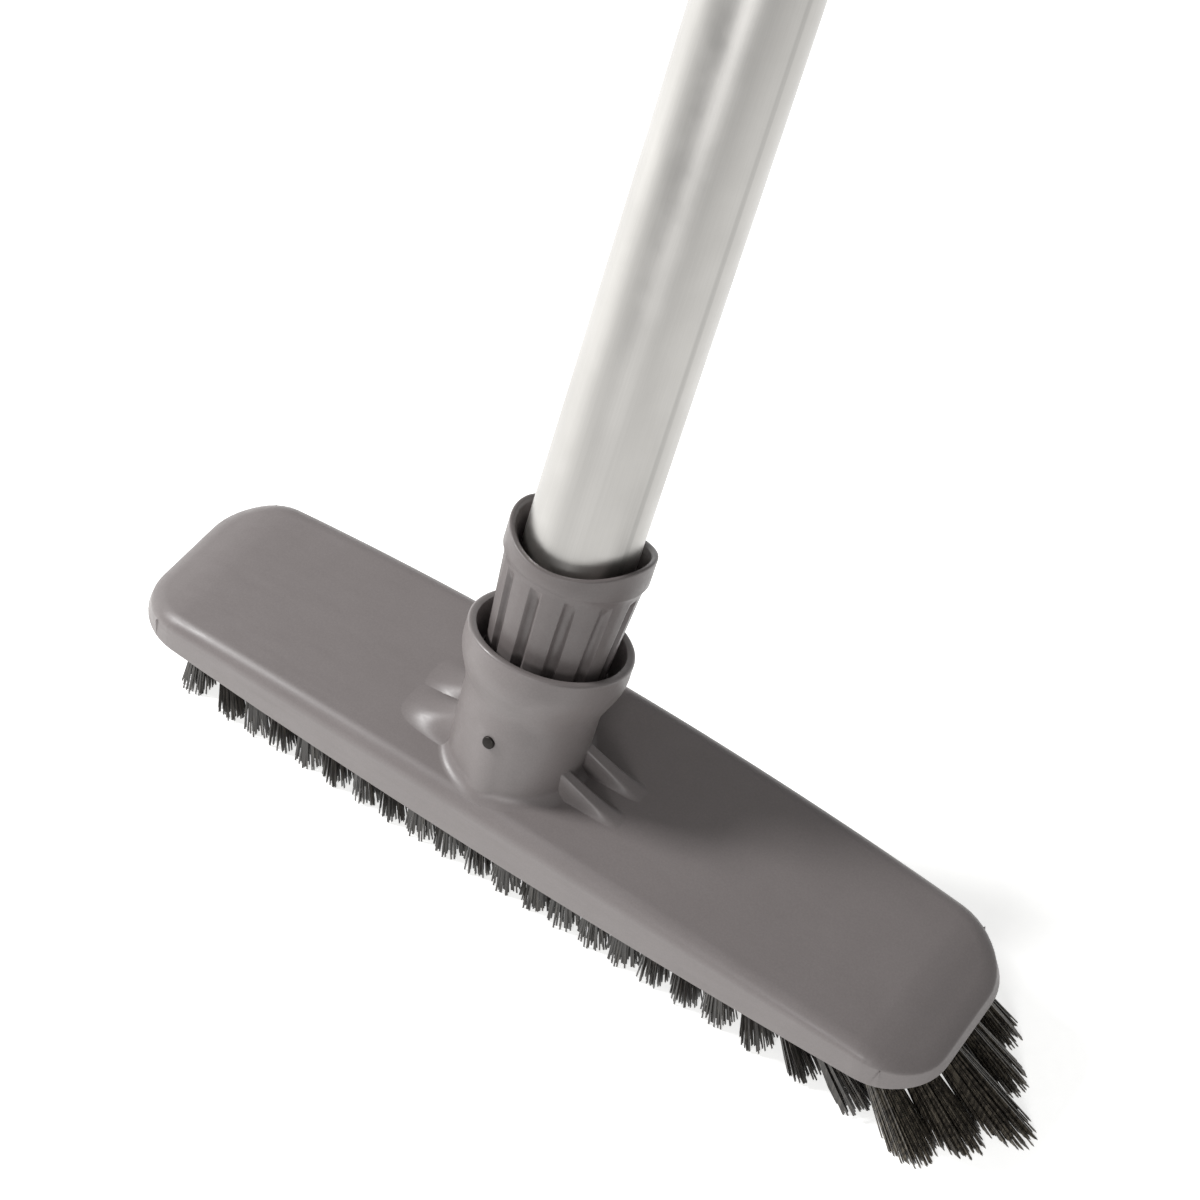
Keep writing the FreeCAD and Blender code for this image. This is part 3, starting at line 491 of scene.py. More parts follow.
@dataclass
class BrushBlock:
    """The moulded shell with its socket boss, plus what stays in and under it."""

    axis: PoleAxis
    finish: Material
    rim: float = 20.0
    crown: float = 13.5
    shoulder: float = 8.5
    shoulder_run: float = 13.0
    shoulder_soft: float = 1.6
    lip: float = 3.0
    side_bow: float = 2120.0
    corner: float = 15.5
    draft: float = 5.0
    top_edge: float = 4.0
    wall: float = 2.6
    end_wall: float = 11.0
    recess: float = 5.3
    slice_pitch: float = 4.0
    end_slices: tuple[float, ...] = (10.0, 12.0, 14.0, 16.0)
    boss: float = 15.6
    bell_start: float = 15.0
    bell_end: float = 27.0
    bell_steps: int = 10
    mouth: float = 31.5
    mouth_outer: float = 19.0
    mouth_bore: float = 17.0
    mouth_floor: float = 22.5
    mouth_lip: float = 0.7
    floor_bore: float = 15.2
    floor_edge: float = 0.4
    bush: float = 12.0
    bush_bottom: float = -2.0
    foot_fillet: float = 2.2
    foot_steps: int = 7
    foot_front: float = 13.2
    foot_margin: float = 1.3  # between the foot and the block's side
    foot_root: float = 6.0  # where the boss ends inside the block, above the rim
    gusset_reach: float = 29.0
    gusset_toe: float = 2.0  # how far the ribs fade out past their reach
    gusset_top: float = 12.0
    gusset_root: float = 4.0  # how far the ribs run on inside the boss
    gusset_rise: float = 7.5
    gusset_crest: float = 0.84
    gusset_sunk: float = 0.12
    gusset_blend: float = 3.2
    web_blend: float = 8.0
    gusset_places: tuple[float, float] = (-7.8, 1.0)

    def __post_init__(self) -> None:
        """Read the block's length and width from the frame."""
        low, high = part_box("block_shell")
        self.length = (high[0] - low[0]) / MM
        self.width = (high[1] - low[1]) / MM
        self.inset = self.crown * math.tan(math.radians(self.draft))

    def bow(self, x: float) -> float:
        """Give how far each long side curves in at a place along the block."""
        return self.side_bow - math.sqrt(self.side_bow ** 2 - x * x)

    def height(self, x: float) -> float:
        """Give the height of the top above the rim at a place along the block.

        Args:
            x: Place along the block from its middle.

        Returns:
            The height in millimetres.
        """
        run = self.length / 2 - self.shoulder_run
        drop = self.crown - self.shoulder
        radius = (run * run + drop * drop) / (2 * drop)
        crown = self.crown - radius + math.sqrt(max(radius * radius - x * x, 0))
        fall = (self.shoulder - self.lip) / self.shoulder_run
        slope = self.shoulder - fall * (abs(x) - run)
        nearness = max(self.shoulder_soft - abs(crown - slope), 0)
        return min(crown, slope) - nearness * nearness / (4 * self.shoulder_soft)

    def surface(self, x: float, y: float) -> float:
        """Give the world height of the block's top, its rounded long edges included.

        Args:
            x: Place along the block.
            y: Place across the block.

        Returns:
            The height in millimetres.
        """
        over = abs(y) - (self.width / 2 - self.bow(x) - self.inset - self.top_edge)
        over = clamp(over, 0.0, self.top_edge * 0.98)
        drop = self.top_edge - math.sqrt(self.top_edge ** 2 - over * over)
        return self.rim + self.height(x) - drop

    def body(self) -> Mesh:
        """Shape the crowned block with its recess for the plate.

        Returns:
            The block's mesh.
        """
        bm = bmesh.new()
        bmesh.ops.create_cube(bm, size=1.0)
        size = Matrix.Diagonal((self.length, self.width, self.crown, 1.0))
        move(bm, Matrix.Translation((0, 0, self.rim + self.crown / 2)) @ size)
        upright = [edge for edge in bm.edges
                   if abs(edge.verts[0].co.z - edge.verts[1].co.z) > self.crown / 2]
        bmesh.ops.bevel(bm, geom=upright, offset=self.corner, offset_type="OFFSET",
                        segments=12, affect="EDGES", profile=0.5, material=-1)
        top = [vert for vert in bm.verts if vert.co.z > self.rim + self.crown / 2]
        shrink = (1 - 2 * self.inset / self.length, 1 - 2 * self.inset / self.width, 1)
        bmesh.ops.scale(bm, vec=shrink, verts=top)
        level = self.rim + self.crown
        loop = [edge for edge in bm.edges
                if all(abs(vert.co.z - level) < 1e-4 for vert in edge.verts)]
        bmesh.ops.bevel(bm, geom=loop, offset=self.top_edge, offset_type="OFFSET", segments=8,
                        affect="EDGES", profile=0.5, material=-1)
        half = self.length / 2
        under = [face for face in bm.faces if face.normal.z < -0.9]
        bmesh.ops.inset_region(bm, faces=under, thickness=self.wall, use_even_offset=True,
                               use_boundary=True)
        ring = {vert for face in under for vert in face.verts}
        squeeze = (half - self.end_wall) / (half - self.wall)
        bmesh.ops.scale(bm, vec=(squeeze, 1, 1), verts=list(ring))
        bmesh.ops.inset_region(bm, faces=under, thickness=0.05, depth=-self.recess,
                               use_even_offset=True, use_boundary=True)
        for step in range(1, int(self.length / self.slice_pitch)):
            cut(bm, (-half + self.slice_pitch * step, 0, 0), (1, 0, 0))
        for side in (-1, 1):
            for back in self.end_slices:
                cut(bm, (side * (half - back), 0, 0), (1, 0, 0))
        for vert in bm.verts:
            vert.co.y *= (self.width / 2 - self.bow(vert.co.x)) / (self.width / 2)
            if abs(vert.co.z - self.rim - self.recess) > 0.2:  # the recess stays level
                share = self.height(vert.co.x) / self.crown
                vert.co.z = self.rim + (vert.co.z - self.rim) * share
        tidy(bm)
        return bm

    def socket_profile(self) -> tuple[list[Pair], int, int, int]:
        """Draw the socket's section, from the bush's bottom over the mouth to the foot.

        Returns:
            The points, then the rows where the bell meets the wall and where the foot's
            fillet starts and ends.
        """
        lip, edge = self.mouth_lip, self.floor_edge
        slope = (self.mouth_bore - self.floor_bore) / (self.mouth - self.mouth_floor)
        profile = [
            (0.0, self.bush_bottom), (self.bush, self.bush_bottom),
            (self.bush, self.mouth_floor - edge), (self.bush + edge, self.mouth_floor),
            (self.floor_bore - edge, self.mouth_floor),
            (self.floor_bore + edge * slope, self.mouth_floor + edge),
            (self.mouth_bore - lip * slope, self.mouth - lip),
            (self.mouth_bore + 0.15, self.mouth - 0.2), (self.mouth_bore + lip, self.mouth),
        ]
        profile += arc((self.mouth_outer - lip, self.mouth - lip), lip, 90, 0, 4)
        for step in range(self.bell_steps, -1, -1):
            share = step / self.bell_steps
            profile.append((blend(self.boss, self.mouth_outer, share),
                            self.bell_start + (self.bell_end - self.bell_start) * share))
        wall_row = len(profile) - 1
        profile += [(self.boss, 12.5), (self.boss, 11.0)]
        foot_row = len(profile)
        for step in range(self.foot_steps + 1):
            turn = math.pi / 2 * step / self.foot_steps
            profile.append((self.boss + self.foot_fillet * (1 - math.cos(turn)),
                            self.foot_fillet * (1 - math.sin(turn))))
        last_row = len(profile)
        profile += [(self.boss + self.foot_fillet, -1.2), (self.boss - 1, -4.0), (0.0, -4.0)]
        return profile, wall_row, foot_row, last_row

    def boss_surface(self) -> Mesh:
        """Shape the leaning socket: a filleted foot, a bell mouth and the bush's bore.

        Returns:
            The socket's mesh, on the leaning axis.
        """
        profile, wall_row, foot_row, last_row = self.socket_profile()
        bm = bmesh.new()
        for radius, height in profile:
            bm.verts.new((radius, 0, height))
        mark = bm.verts.layers.int.new("row")
        verts = list(bm.verts)
        for row, vert in enumerate(verts):
            vert[mark] = row
        edges = [bm.edges.new(pair) for pair in zip(verts, verts[1:])]
        bmesh.ops.spin(bm, geom=verts + edges, cent=(0, 0, 0), axis=(0, 0, 1), dvec=(0, 0, 0),
                       angle=FULL_TURN, steps=ROUND_STEPS, use_merge=True)
        lean = math.cos(self.axis.tilt)
        for vert in bm.verts:
            row = vert[mark]
            reach = math.hypot(vert.co.x, vert.co.y)
            if row >= wall_row and reach > self.boss - 0.5 and vert.co.y < 0:
                # the front of the foot is drawn in, to stay on the flat of the top
                share = blend(0, 1, 1 - vert.co.z / self.bell_start)
                vert.co.y *= blend(1.0, self.foot_front / self.boss, share)
            if row < foot_row:
                continue
            if row > last_row:
                vert.co.z = self.axis.height_where(self.rim + self.foot_root, vert.co.y)
                continue
            # the fillet narrows where the foot comes near the block's side
            reach = math.hypot(vert.co.x, vert.co.y)
            wall = self.axis.base.y + vert.co.y / max(reach, 1) * self.boss / lean
            room = (self.width / 2 - self.foot_margin - abs(wall)) / self.foot_fillet
            room = clamp(room, 0.2)
            share = (self.boss + (reach - self.boss) * room) / reach
            vert.co.x *= share
            vert.co.y *= share
            level = self.surface(self.axis.base.x + vert.co.x,
                                 self.axis.base.y + vert.co.y / lean)
            vert.co.z = self.axis.height_where(level + vert.co.z * room, vert.co.y)
        tidy(bm)
        self.axis.stand(bm)
        return bm

    def gusset(self, place: float, side: int, spread: float, fade: float) -> Mesh:
        """Shape one rib that falls from the boss and blends into the block's top.

        Args:
            place: Where the rib's middle stands across the block.
            side: 1 towards the flared end, -1 towards the other.
            spread: Half of the width over which the rib blends.
            fade: How hollow its crest is: 1 falls in a straight line.

        Returns:
            The rib's mesh.
        """
        bm = bmesh.new()
        bmesh.ops.create_grid(bm, x_segments=36, y_segments=24, size=1.0)
        start = self.gusset_top - self.gusset_root
        end = self.gusset_reach + self.gusset_toe
        for vert in bm.verts:
            along = blend(start, end, (vert.co.x + 1) / 2)
            across = vert.co.y * spread
            x = self.axis.base.x + side * along
            y = place + across
            fall = min((end - along) / (end - self.gusset_top), 1.0)
            flank = max(abs(across) - self.gusset_crest, 0) / (spread - self.gusset_crest)
            bump = math.cos(min(flank, 1.0) * math.pi / 2) ** 2
            rise = self.gusset_rise * fall ** fade * bump
            vert.co = Vector((x, y, self.surface(x, y) + rise - self.gusset_sunk))
        if side < 0:
            bmesh.ops.reverse_faces(bm, faces=bm.faces[:])
        return bm

    def build(self) -> None:
        """Join the block, socket and ribs into the shell."""
        whole = self.body()
        join(whole, self.boss_surface())
        for place in self.gusset_places:
            join(whole, self.gusset(place, 1, self.gusset_blend, 1.2))
            join(whole, self.gusset(place, -1, self.web_blend, 2.0))
        make_piece("shell", whole, self.finish, "head", "block_shell", 38)


@dataclass
class LockPin:
    """The pin that stops the threaded bush from turning in the boss."""

    axis: PoleAxis
    finish: Material
    radius: float = 1.5
    level: float = 9.0
    boss: float = 15.6
    proud: float = 0.25
    depth: float = 3.0
    edge: float = 0.4

    def build(self) -> None:
        """Lathe the pin and push it into the front of the boss."""
        edge = self.edge
        dome = arc((self.radius - edge, -edge), edge, 0, 90, 4)
        bm = lathe([(0.0, -self.depth), (self.radius, -self.depth)] + dome + [(0.0, 0.05)],
                   32, closed=False)
        out = Matrix.Rotation(math.pi / 2, 4, "X")
        move(bm, Matrix.Translation((0, -(self.boss + self.proud), self.level)) @ out)
        self.axis.stand(bm)
        make_piece("lock_pin", bm, self.finish, "head", "bush_lock_pin")


# --- bristles --------------------------------------------------------------------------


@dataclass
class TuftField:
    """All the bristle tufts: five rows and a fan at each end."""

    fibre_finish: Material
    flare_finish: Material
    face: float = 18.8
    pitch: float = 8.2
    rows: tuple[tuple[str, float], ...] = (
        ("front_tufts", -17.5), ("front_middle_tufts", -8.75), ("centre_tufts", 0.0),
        ("rear_middle_tufts", 8.75), ("rear_tufts", 17.5))
    columns: int = 10
    screw_columns: tuple[int, ...] = (3, 6, 9)
    root: float = 2.15
    tip: float = 4.5
    fibres: int = 96
    fibre: float = 0.46
    sunk: float = 0.8
    end_pitch: float = 7.2
    end_x: float = 94.5
    end_sweep: float = 0.6
    flare_tip: float = 6.0
    flare_fibres: int = 260
    templates: int = 5
    stray: float = 0.3  # spread of the tips about an even pattern
    uneven: float = 0.22  # spread of the fibres' lengths
    shortest: float = 0.9  # most that a fibre may lack
    sway: float = 0.12
    wobble: float = 0.012  # spread of the tufts' lean, in radians

    def __post_init__(self) -> None:
        """Set up the seeded source of small differences and the worn end's lean."""
        self.chance = random.Random(41)
        self.end_bend = {10: 34.0, 9: 22.0, 8: 10.0, 7: 3.0}  # degrees by column

    def strand(self, bm: Mesh, start: Vector, end: Vector, sway: Vector,
               thick: float) -> None:
        """Extrude one three-sided fibre along a gently bowed line.

        Args:
            bm: Mesh that takes the fibre.
            start: Middle of its root.
            end: Middle of its tip.
            sway: How far its middle bows aside.
            thick: Its diameter.
        """
        spans = 4
        made = bmesh.ops.create_circle(bm, segments=3, radius=thick / 2, cap_ends=False,
                                       matrix=Matrix.Translation(start))
        verts = made["verts"]
        edges = list({edge for vert in verts for edge in vert.link_edges})
        before = start
        for span in range(1, spans + 1):
            share = span / spans
            now = start.lerp(end, share) + sway * math.sin(math.pi * share)
            grown = bmesh.ops.extrude_edge_only(bm, edges=edges)["geom"]
            verts = [part for part in grown if isinstance(part, bmesh.types.BMVert)]
            edges = [part for part in grown if isinstance(part, bmesh.types.BMEdge)
                     and all(vert in verts for vert in part.verts)]
            bmesh.ops.translate(bm, vec=now - before, verts=verts)
            before = now
        bm.faces.new(verts)

    def aside(self, spread: float) -> Vector:
        """Draw a small level offset at random."""
        return Vector((self.chance.gauss(0, spread), self.chance.gauss(0, spread), 0))

    def template(self, length: float, root: float, tip: float, count: int) -> bpy.types.Mesh:
        """Model one tuft that hangs from the origin.

        Args:
            length: How far its longest fibre reaches.
            root: Radius at the root.
            tip: Radius at the tip.
            count: Number of fibres.

        Returns:
            The tuft's mesh in millimetres.
        """
        bm = bmesh.new()
        golden = math.pi * (3 - math.sqrt(5))
        for place in range(count):
            spread = math.sqrt((place + 0.5) / count)
            turn = place * golden + self.chance.uniform(-0.2, 0.2)
            way = Vector((math.cos(turn), math.sin(turn), 0))
            jitter = self.aside(self.stray)
            start = way * (root - self.fibre / 2) * spread + Vector((0, 0, self.sunk))
            outer = way * (tip - self.fibre / 2) * spread + jitter
            outer.length = min(outer.length, tip - self.fibre / 2)
            short = min(abs(self.chance.gauss(0, self.uneven)), self.shortest)
            end = outer + Vector((0, 0, short - length))
            sway = self.aside(self.sway)
            self.strand(bm, start, end, sway, self.fibre * self.chance.uniform(0.85, 1.1))
        bmesh.ops.recalc_face_normals(bm, faces=bm.faces[:])
        mesh = bpy.data.meshes.new("tuft")
        bm.to_mesh(mesh)
        bm.free()
        return mesh

    def place(self, bm: Mesh, mesh: bpy.types.Mesh, matrix: Matrix) -> None:
        """Add a copy of a tuft's mesh to a row."""
        mesh.transform(matrix)
        bm.from_mesh(mesh)
        mesh.transform(matrix.inverted())

    def row(self, name: str, y: float) -> None:
        """Plant one straight row.

        Args:
            name: Name of the row, which is the frame node that it replaces.
            y: Where the row stands across the block.
        """
        bm = bmesh.new()
        for column in range(-self.columns, self.columns + 1):
            if y == 0 and abs(column) in self.screw_columns:
                continue
            tuft = self.chance.choice(self.tufts)
            bent = math.radians(self.end_bend.get(column, 0.0))
            lean = Matrix.Rotation(self.chance.gauss(0, self.wobble) - bent, 4, "Y")
            spin = Matrix.Rotation(self.chance.uniform(0, FULL_TURN), 4, "Z")
            longer = Matrix.Scale(1 / math.cos(bent), 4)
            spot = Matrix.Translation((column * self.pitch, y, self.face))
            self.place(bm, tuft, spot @ lean @ spin @ longer)
        for vert in bm.verts:
            vert.co.z = max(vert.co.z, 0.0)
        make_piece(name + "_fibres", bm, self.fibre_finish, "head", name, 60)

    def fan(self, name: str, side: int, lean: float, lean_drop: float, yaw: float,
            sweep: float, tip: float, count: int, finish: Material) -> None:
        """Plant the five tufts at one end of the block.

        Args:
            name: Name of the fan, which is the frame node that it replaces.
            side: 1 for the flared end, -1 for the other.
            lean: Lean of the middle tuft in degrees.
            lean_drop: How much less each tuft further out leans.
            yaw: How far each tuft further out turns to the side.
            sweep: How far all of them turn towards the front.
            tip: Radius of a tuft at its tips.
            count: Fibres in a tuft.
            finish: Its material.
        """
        bm = bmesh.new()
        for place in range(-2, 3):
            tilt = math.radians(lean - lean_drop * abs(place))
            turn = math.radians(place * yaw - sweep)
            flat = Vector((side * math.cos(turn), math.sin(turn), 0))
            way = flat * math.sin(tilt) - Vector((0, 0, math.cos(tilt)))
            root = Vector((side * (self.end_x - self.end_sweep * place * place),
                           place * self.end_pitch, self.face))
            reach = self.face / math.cos(tilt)
            tuft = self.template(reach + tip * math.tan(tilt), self.root, tip, count)
            turned = Vector((0, 0, -1)).rotation_difference(way).to_matrix().to_4x4()
            self.place(bm, tuft, Matrix.Translation(root) @ turned)
            bpy.data.meshes.remove(tuft)
        cut(bm, (0, 0, 0.02), (0, 0, -1), clear=True)
        bmesh.ops.holes_fill(bm, edges=[edge for edge in bm.edges if edge.is_boundary], sides=6)
        make_piece(name + "_fibres", bm, finish, "head", name, 60)

    def build(self) -> None:
        """Plant every row and both fans."""
        self.tufts = [self.template(self.face, self.root, self.tip, self.fibres)
                      for _ in range(self.templates)]
        for name, y in self.rows:
            self.row(name, y)
        self.fan("right_end_tufts", 1, 55.5, 6.5, 5.0, 6.0, self.flare_tip, self.flare_fibres,
                 self.flare_finish)
        self.fan("left_end_tufts", -1, 9.0, 0.0, 27.0, 0.0, self.tip, self.fibres,
                 self.fibre_finish)


# --- collar, washer, pole and cap ------------------------------------------------------


@dataclass
class PoleCollar:
    """The ribbed collar that carries the thread and holds the pole, with its rivet."""

    axis: PoleAxis
    finish: Material
    rivet_finish: Material
    shoulder: float = 24.7
    foot: float = 13.8
    neck: float = 15.6
    band: float = 16.5
    band_start: float = 50.5
    band_edge: float = 1.3
    steps_up: int = 9
    top: float = 59.0
    bore: float = 12.75
    bore_floor: float = 28.3
    lead: float = 15.0
    saddle: float = 4.0
    ribs: int = 12
    per_rib: int = 14  # facets round each rib and its groove
    groove: float = 2.8
    groove_depth: float = 1.3
    groove_top: float = 49.0
    rivet_level: float = 47.0
    rivet_seat: float = 14.9
    rivet_head: float = 3.0
    rivet_rise: float = 1.1

    def rim_drop(self, x: float) -> float:
        """Give how far the saddle cut lowers the rim at a place across the collar."""
        radius = (self.band ** 2 + self.saddle ** 2) / (2 * self.saddle)
        rise = radius - math.sqrt(radius * radius - min(x * x, self.band ** 2))
        return max(self.saddle - rise, 0.0)

    def grip(self) -> Mesh:
        """Lathe the grip, then press in its grooves and its saddle rim.

        Returns:
            The grip's mesh about Z.
        """
        run = self.band_start - self.shoulder
        outer = [(self.foot - 0.8, self.shoulder), (self.foot - 0.2, self.shoulder + 0.25)]
        for step in range(self.steps_up + 1):
            share = step / self.steps_up
            outer.append((self.foot + (self.neck - self.foot) * share,
                          self.shoulder + 0.9 + (run - 2.2) * share))
        outer += [(self.neck + 0.1, self.band_start - 0.9),
                  (self.neck + 0.25, self.band_start),
                  (self.band - 0.3, self.band_start + 0.7),
                  (self.band, self.band_start + self.band_edge),
                  (self.band, self.band_start + 4.5), (self.band, self.top - 0.9)]
        crest = arc((self.band - 0.8, self.top - 0.8), 0.8, 20, 90, 4)
        inner = [(self.lead + 0.3, self.top - 0.05), (self.lead - 0.1, self.top - 0.6),
                 (self.bore + 0.2, self.band_start + 0.8), (self.bore, self.band_start - 0.5),
                 (self.bore, self.bore_floor), (0.0, self.bore_floor), (0.0, self.shoulder)]
        bm = lathe(outer + crest + inner, self.ribs * self.per_rib, closed=False)
        bmesh.ops.remove_doubles(bm, verts=bm.verts[:], dist=1e-3)
        pitch = FULL_TURN / self.ribs
        # facets beside a groove's middle, as shares of its half width
        slots = [0.0, 0.42, 0.80, 1.0, 1.16, 1.55, 2.0]
        for vert in bm.verts:
            x, y, level = vert.co
            radius = math.hypot(x, y)
            if radius < 1e-3 or level > self.band_start or radius < self.foot - 0.9:
                continue
            angle = math.atan2(y, x)
            rib = round(angle / pitch)
            off = angle - rib * pitch
            step = min(round(abs(off) / pitch * self.per_rib), len(slots) - 1)
            half = self.groove / 2 / radius
            reach = slots[step] * half if step < len(slots) - 1 else abs(off)
            wall = 1.0 - clamp((slots[step] - 0.62) / 0.4) if step < len(slots) - 1 else 0.0
            rise = clamp((self.groove_top - level) / 1.2)
            if level < self.shoulder + 0.2:
                rise = 0.75
            depth = self.groove_depth * blend(0, 1, wall) * blend(0, 1, rise)
            angle = rib * pitch + math.copysign(reach, off)
            radius -= depth
            vert.co.x, vert.co.y = radius * math.cos(angle), radius * math.sin(angle)
        for vert in bm.verts:
            above = vert.co.z - (self.band_start + self.band_edge)
            if above > 0:
                share = above / (self.top - self.band_start - self.band_edge)
                vert.co.z -= self.rim_drop(vert.co.x) * share
        bmesh.ops.recalc_face_normals(bm, faces=bm.faces[:])
        return bm

    def stud(self) -> Mesh:
        """Cut the threaded stud off a copy of the frame's collar.

        Returns:
            The stud's mesh, in place.
        """
        bm = node_copy("thread_collar")
        end = self.axis.base + self.axis.direction * (self.shoulder + 0.6)
        cut(bm, end, self.axis.direction, clear=True)
        away = [face for face in bm.faces
                if self.off_axis(face.calc_center_median()) > self.foot - 3.2]
        bmesh.ops.delete(bm, geom=away, context="FACES")
        loose = [vert for vert in bm.verts if not vert.link_faces]
        bmesh.ops.delete(bm, geom=loose, context="VERTS")
        return bm

    def off_axis(self, point: Vector) -> float:
        """Give a point's distance from the pole's axis."""
        reach = point - self.axis.base
        return (reach - self.axis.direction * reach.dot(self.axis.direction)).length

    def build(self) -> None:
        """Join the grip and the stud, and set the rivet in the back."""
        whole = self.grip()
        self.axis.stand(whole)
        join(whole, self.stud())
        make_piece("collar", whole, self.finish, "handle", "thread_collar", 50)
        self.build_rivet()

    def build_rivet(self) -> None:
        """Lathe the blind rivet's domed head with its pin hole, and stand it at the back."""
        dome_radius = (self.rivet_head ** 2 + self.rivet_rise ** 2) / (2 * self.rivet_rise)
        start = math.degrees(math.asin((dome_radius - self.rivet_rise) / dome_radius))
        dome = arc((0, self.rivet_rise - dome_radius), dome_radius, start, 82, 8)
        hole = [(0.55, self.rivet_rise - 0.35), (0.0, self.rivet_rise - 0.35)]
        bm = lathe([(0.0, -2.0), (1.6, -2.0), (1.6, 0.0), (self.rivet_head - 0.1, 0.0)]
                   + dome + hole, 40, closed=False)
        out = Matrix.Rotation(-math.pi / 2, 4, "X")
        move(bm, Matrix.Translation((0, self.rivet_seat, self.rivet_level)) @ out)
        self.axis.stand(bm)
        make_piece("rivet", bm, self.rivet_finish, "handle", "collar_rivet")


@dataclass
class Pole:
    """The drawn tube."""

    axis: PoleAxis
    finish: Material
    radius: float = 12.7
    wall: float = 1.25
    bottom: float = 28.3
    length: float = 450.0
    burr: float = 0.2  # taken off the edges of the ends

    def build(self) -> None:
        """Lathe the tube with its deburred ends."""
        top = self.bottom + self.length
        inner = self.radius - self.wall
        burr = self.burr
        bm = lathe([(inner, self.bottom + burr), (inner + burr, self.bottom),
                    (self.radius - burr, self.bottom), (self.radius, self.bottom + burr),
                    (self.radius, top - 0.3), (self.radius - 0.1, top - 0.1),
                    (self.radius - 0.3, top), (inner + burr, top), (inner, top - burr)], 128)
        self.axis.stand(bm)
        make_piece("tube", bm, self.finish, "handle", "pole_tube")


@dataclass
class Washer:
    """The soft washer that the collar's shoulder squeezes."""

    axis: PoleAxis
    finish: Material
    inner: float = 9.9
    outer: float = 14.2
    bottom: float = 22.6
    thick: float = 2.0
    roll: float = 0.5

    def build(self) -> None:
        """Lathe the washer with its rolled edges."""
        roll = self.roll
        low, high = self.bottom + roll, self.bottom + self.thick - roll
        profile = []
        for radius, level, turn in ((self.outer - roll, high, 90), (self.outer - roll, low, 0),
                                    (self.inner + roll, low, 270), (self.inner + roll, high, 180)):
            profile += arc((radius, level), roll, turn, turn - 90, 4)
        bm = lathe(profile)
        self.axis.stand(bm)
        make_piece("washer_ring", bm, self.finish, "washer", "collar_washer")


# --- studio ----------------------------------------------------------------------------


@dataclass(frozen=True)
class Viewpoint:
    """Where the camera stands, in degrees and millimetres."""

    azimuth: float = 32.698
    elevation: float = 52.105
    roll: float = 3.281
    distance: float = 568.2
    aim: tuple[float, float, float] = (4.46, 7.54, 83.06)
    lens: float = 80.84

    def place(self) -> None:
        """Make the scene's camera."""
        turn, rise, roll = (math.radians(value)
                            for value in (self.azimuth, self.elevation, self.roll))
        back = Vector((math.sin(turn) * math.cos(rise), -math.cos(turn) * math.cos(rise),
                       math.sin(rise)))
        right = Vector((math.cos(turn), math.sin(turn), 0))
        up = back.cross(right)
        rolled_right = right * math.cos(roll) + up * math.sin(roll)
        rolled_up = up * math.cos(roll) - right * math.sin(roll)
        spin = Matrix((rolled_right, rolled_up, back)).transposed().to_4x4()
        spot = (Vector(self.aim) + back * self.distance) * MM
        data = bpy.data.cameras.new("studio_camera")
        data.lens = self.lens
        data.clip_start = 0.01
        camera = show("studio_camera", data)
        camera.matrix_world = Matrix.Translation(spot) @ spin
        bpy.context.scene.camera = camera


@dataclass(frozen=True)
class SoftBox:
    """One rectangular studio light that faces a point over the block."""

    name: str
    spot: tuple[float, float, float]  # metres
    width: float
    height: float
    power: float

    def place(self) -> None:
        """Make the light and aim it."""
        data = bpy.data.lights.new(self.name, "AREA")
        data.shape = "RECTANGLE"
        data.size, data.size_y = self.width, self.height
        data.energy = self.power
        light = show(self.name, data)
        aim = Vector((0, 0, 0.03)) - Vector(self.spot)
        light.rotation_euler = aim.to_track_quat("-Z", "Y").to_euler()
        light.location = self.spot


SOFT_BOXES = (
    SoftBox("key", (-1.0, -0.2, 0.9), 0.25, 0.25, 18.0),
    SoftBox("front", (0.3, -1.2, 0.7), 0.5, 0.4, 5.5),
)


SURROUND_SHOWN = 0.42  # strength in glossy faces
SURROUND_LIGHT = 0.26  # strength on dull faces
FLOOR_GLOW = 0.72
FLOOR_HALF = 6.0  # metres


def build_studio() -> None:
    """Set the pale floor, the even surround, the lights and the camera."""
    bm = bmesh.new()
    bmesh.ops.create_grid(bm, x_segments=1, y_segments=1, size=FLOOR_HALF)
    mesh = bpy.data.meshes.new("studio_floor")
    bm.to_mesh(mesh)
    bm.free()
    material, tree, place = start_material("matt_white_paper")
    tone = tint(tree, noise(tree, place, 3.0), "f6f6f5", "f2f2f1")
    finish_material(tree, {"Roughness": 0.9, "Emission Strength": FLOOR_GLOW},
                    {"Base Color": tone, "Emission Color": tone})
    mesh.materials.append(material)
    floor = show("studio_floor", mesh)
    world = bpy.data.worlds.new("pale_surround")
    world.use_nodes = True
    tree = world.node_tree
    surround = tree.nodes["Background"]
    surround.inputs["Color"].default_value = linear("ffffff")
    # the surround shows brighter in glossy faces than it lights dull ones
    dull = add_node(tree, "ShaderNodeLightPath").outputs["Is Diffuse Ray"]
    strength = maths(tree, "MULTIPLY_ADD", {0: dull},
                     {1: SURROUND_LIGHT - SURROUND_SHOWN, 2: SURROUND_SHOWN})
    tree.links.new(strength, surround.inputs["Strength"])
    bpy.context.scene.world = world
    bpy.context.scene.view_settings.view_transform = "Standard"
    for light in SOFT_BOXES:
        light.place()
    Viewpoint().place()


# --- the whole brush -------------------------------------------------------------------


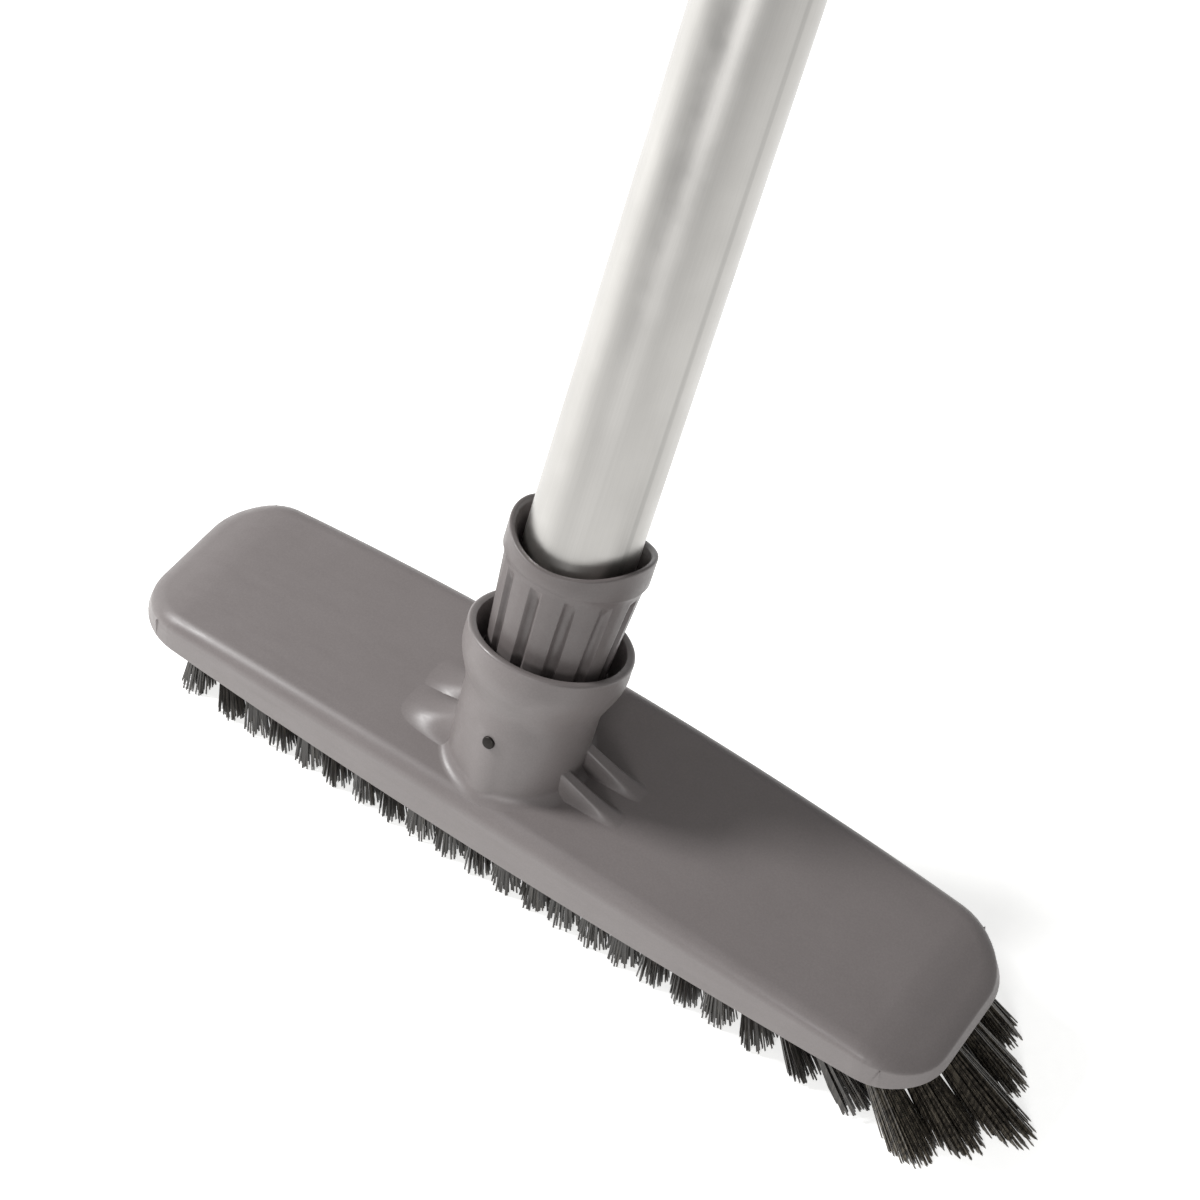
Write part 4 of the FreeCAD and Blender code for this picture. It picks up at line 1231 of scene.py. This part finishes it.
def main() -> None:
    """Build and dress every piece in order."""
    logging.basicConfig(level=logging.INFO, format="%(name)s: %(message)s")
    axis = PoleAxis()
    pivot = tuple(axis.base * MM)

    # moulded polypropylene: satin grey with a fine spark-eroded skin
    shell = MouldedPlastic("moulded_polypropylene_grey", "7a7473", "726c6b", 0.42).material()
    # moulded polypropylene in a second, darker shade, handled more and so glossier
    grip = MouldedPlastic("moulded_polypropylene_collar", "6b6564", "625c5b", 0.40).material()
    # the drilled plate is the same polymer, left rougher by its tool
    plate = MouldedPlastic("moulded_polypropylene_plate", "7f7a79", "757170", 0.5).material()
    # acetal bush: dark, dense and slightly waxy
    acetal = MouldedPlastic("moulded_acetal_black", "2b2a29", "232221", 0.35).material()
    # the pole's cap is a soft black polyethylene
    cap = MouldedPlastic("moulded_polyethylene_cap", "2e2d2d", "373635", 0.5).material()
    # pressed nitrile rubber: matt and nearly black
    rubber = MouldedPlastic("pressed_nitrile_rubber", "1e1d1d", "272626",
                            0.75, 0.6, 0.03).material()
    # drawn aluminium tube, satin anodised, with fine lines and a painted dark reflection line
    # along it
    tube = WorkedMetal("anodised_aluminium_drawn", "b9b7b4", "aeaca9", 0.36,
                       tilt=axis.tilt, pivot=pivot, reflection_line_angle=math.radians(-18)).material()
    # blind rivet: headed aluminium, brighter than the tube
    rivet = WorkedMetal("headed_aluminium_rivet", "c9c8c6", "b5b4b1",
                        0.3, Grain.HEADED).material()
    # zinc-plated steel: cool grey with a faint mottle
    zinc = WorkedMetal("zinc_plated_steel", "b3b5b6", "9b9d9f",
                       0.32, Grain.PLATED, 0.8).material()
    # blackened steel pin: dark oxide over a smooth rolled surface
    oxide = WorkedMetal("blackened_steel_pin", "2c2a29", "3a3735",
                        0.45, Grain.PLATED, 0.5).material()
    # polypropylene filament: near black with a few paler strands
    fibre = BrushFibre("extruded_polypropylene_fibre", "2f2c29", "4a4641").material()
    # the same filament, bleached and bent by wear at the flared end
    flared = BrushFibre("extruded_polypropylene_fibre_worn", "37332e", "5d574d", 0.18).material()

    BrushBlock(axis, shell).build()
    LockPin(axis, oxide).build()
    TuftField(fibre, flared).build()
    PoleCollar(axis, grip, rivet).build()
    Washer(axis, rubber).build()
    Pole(axis, tube).build()
    for name, finish in (("bristle_plate", plate), ("plate_screws", zinc),
                         ("tuft_anchors", zinc), ("socket_bush", acetal),
                         ("pole_end_cap", cap)):
        dress_node(name, finish)
    build_studio()


if __name__ == "__main__":
    main()
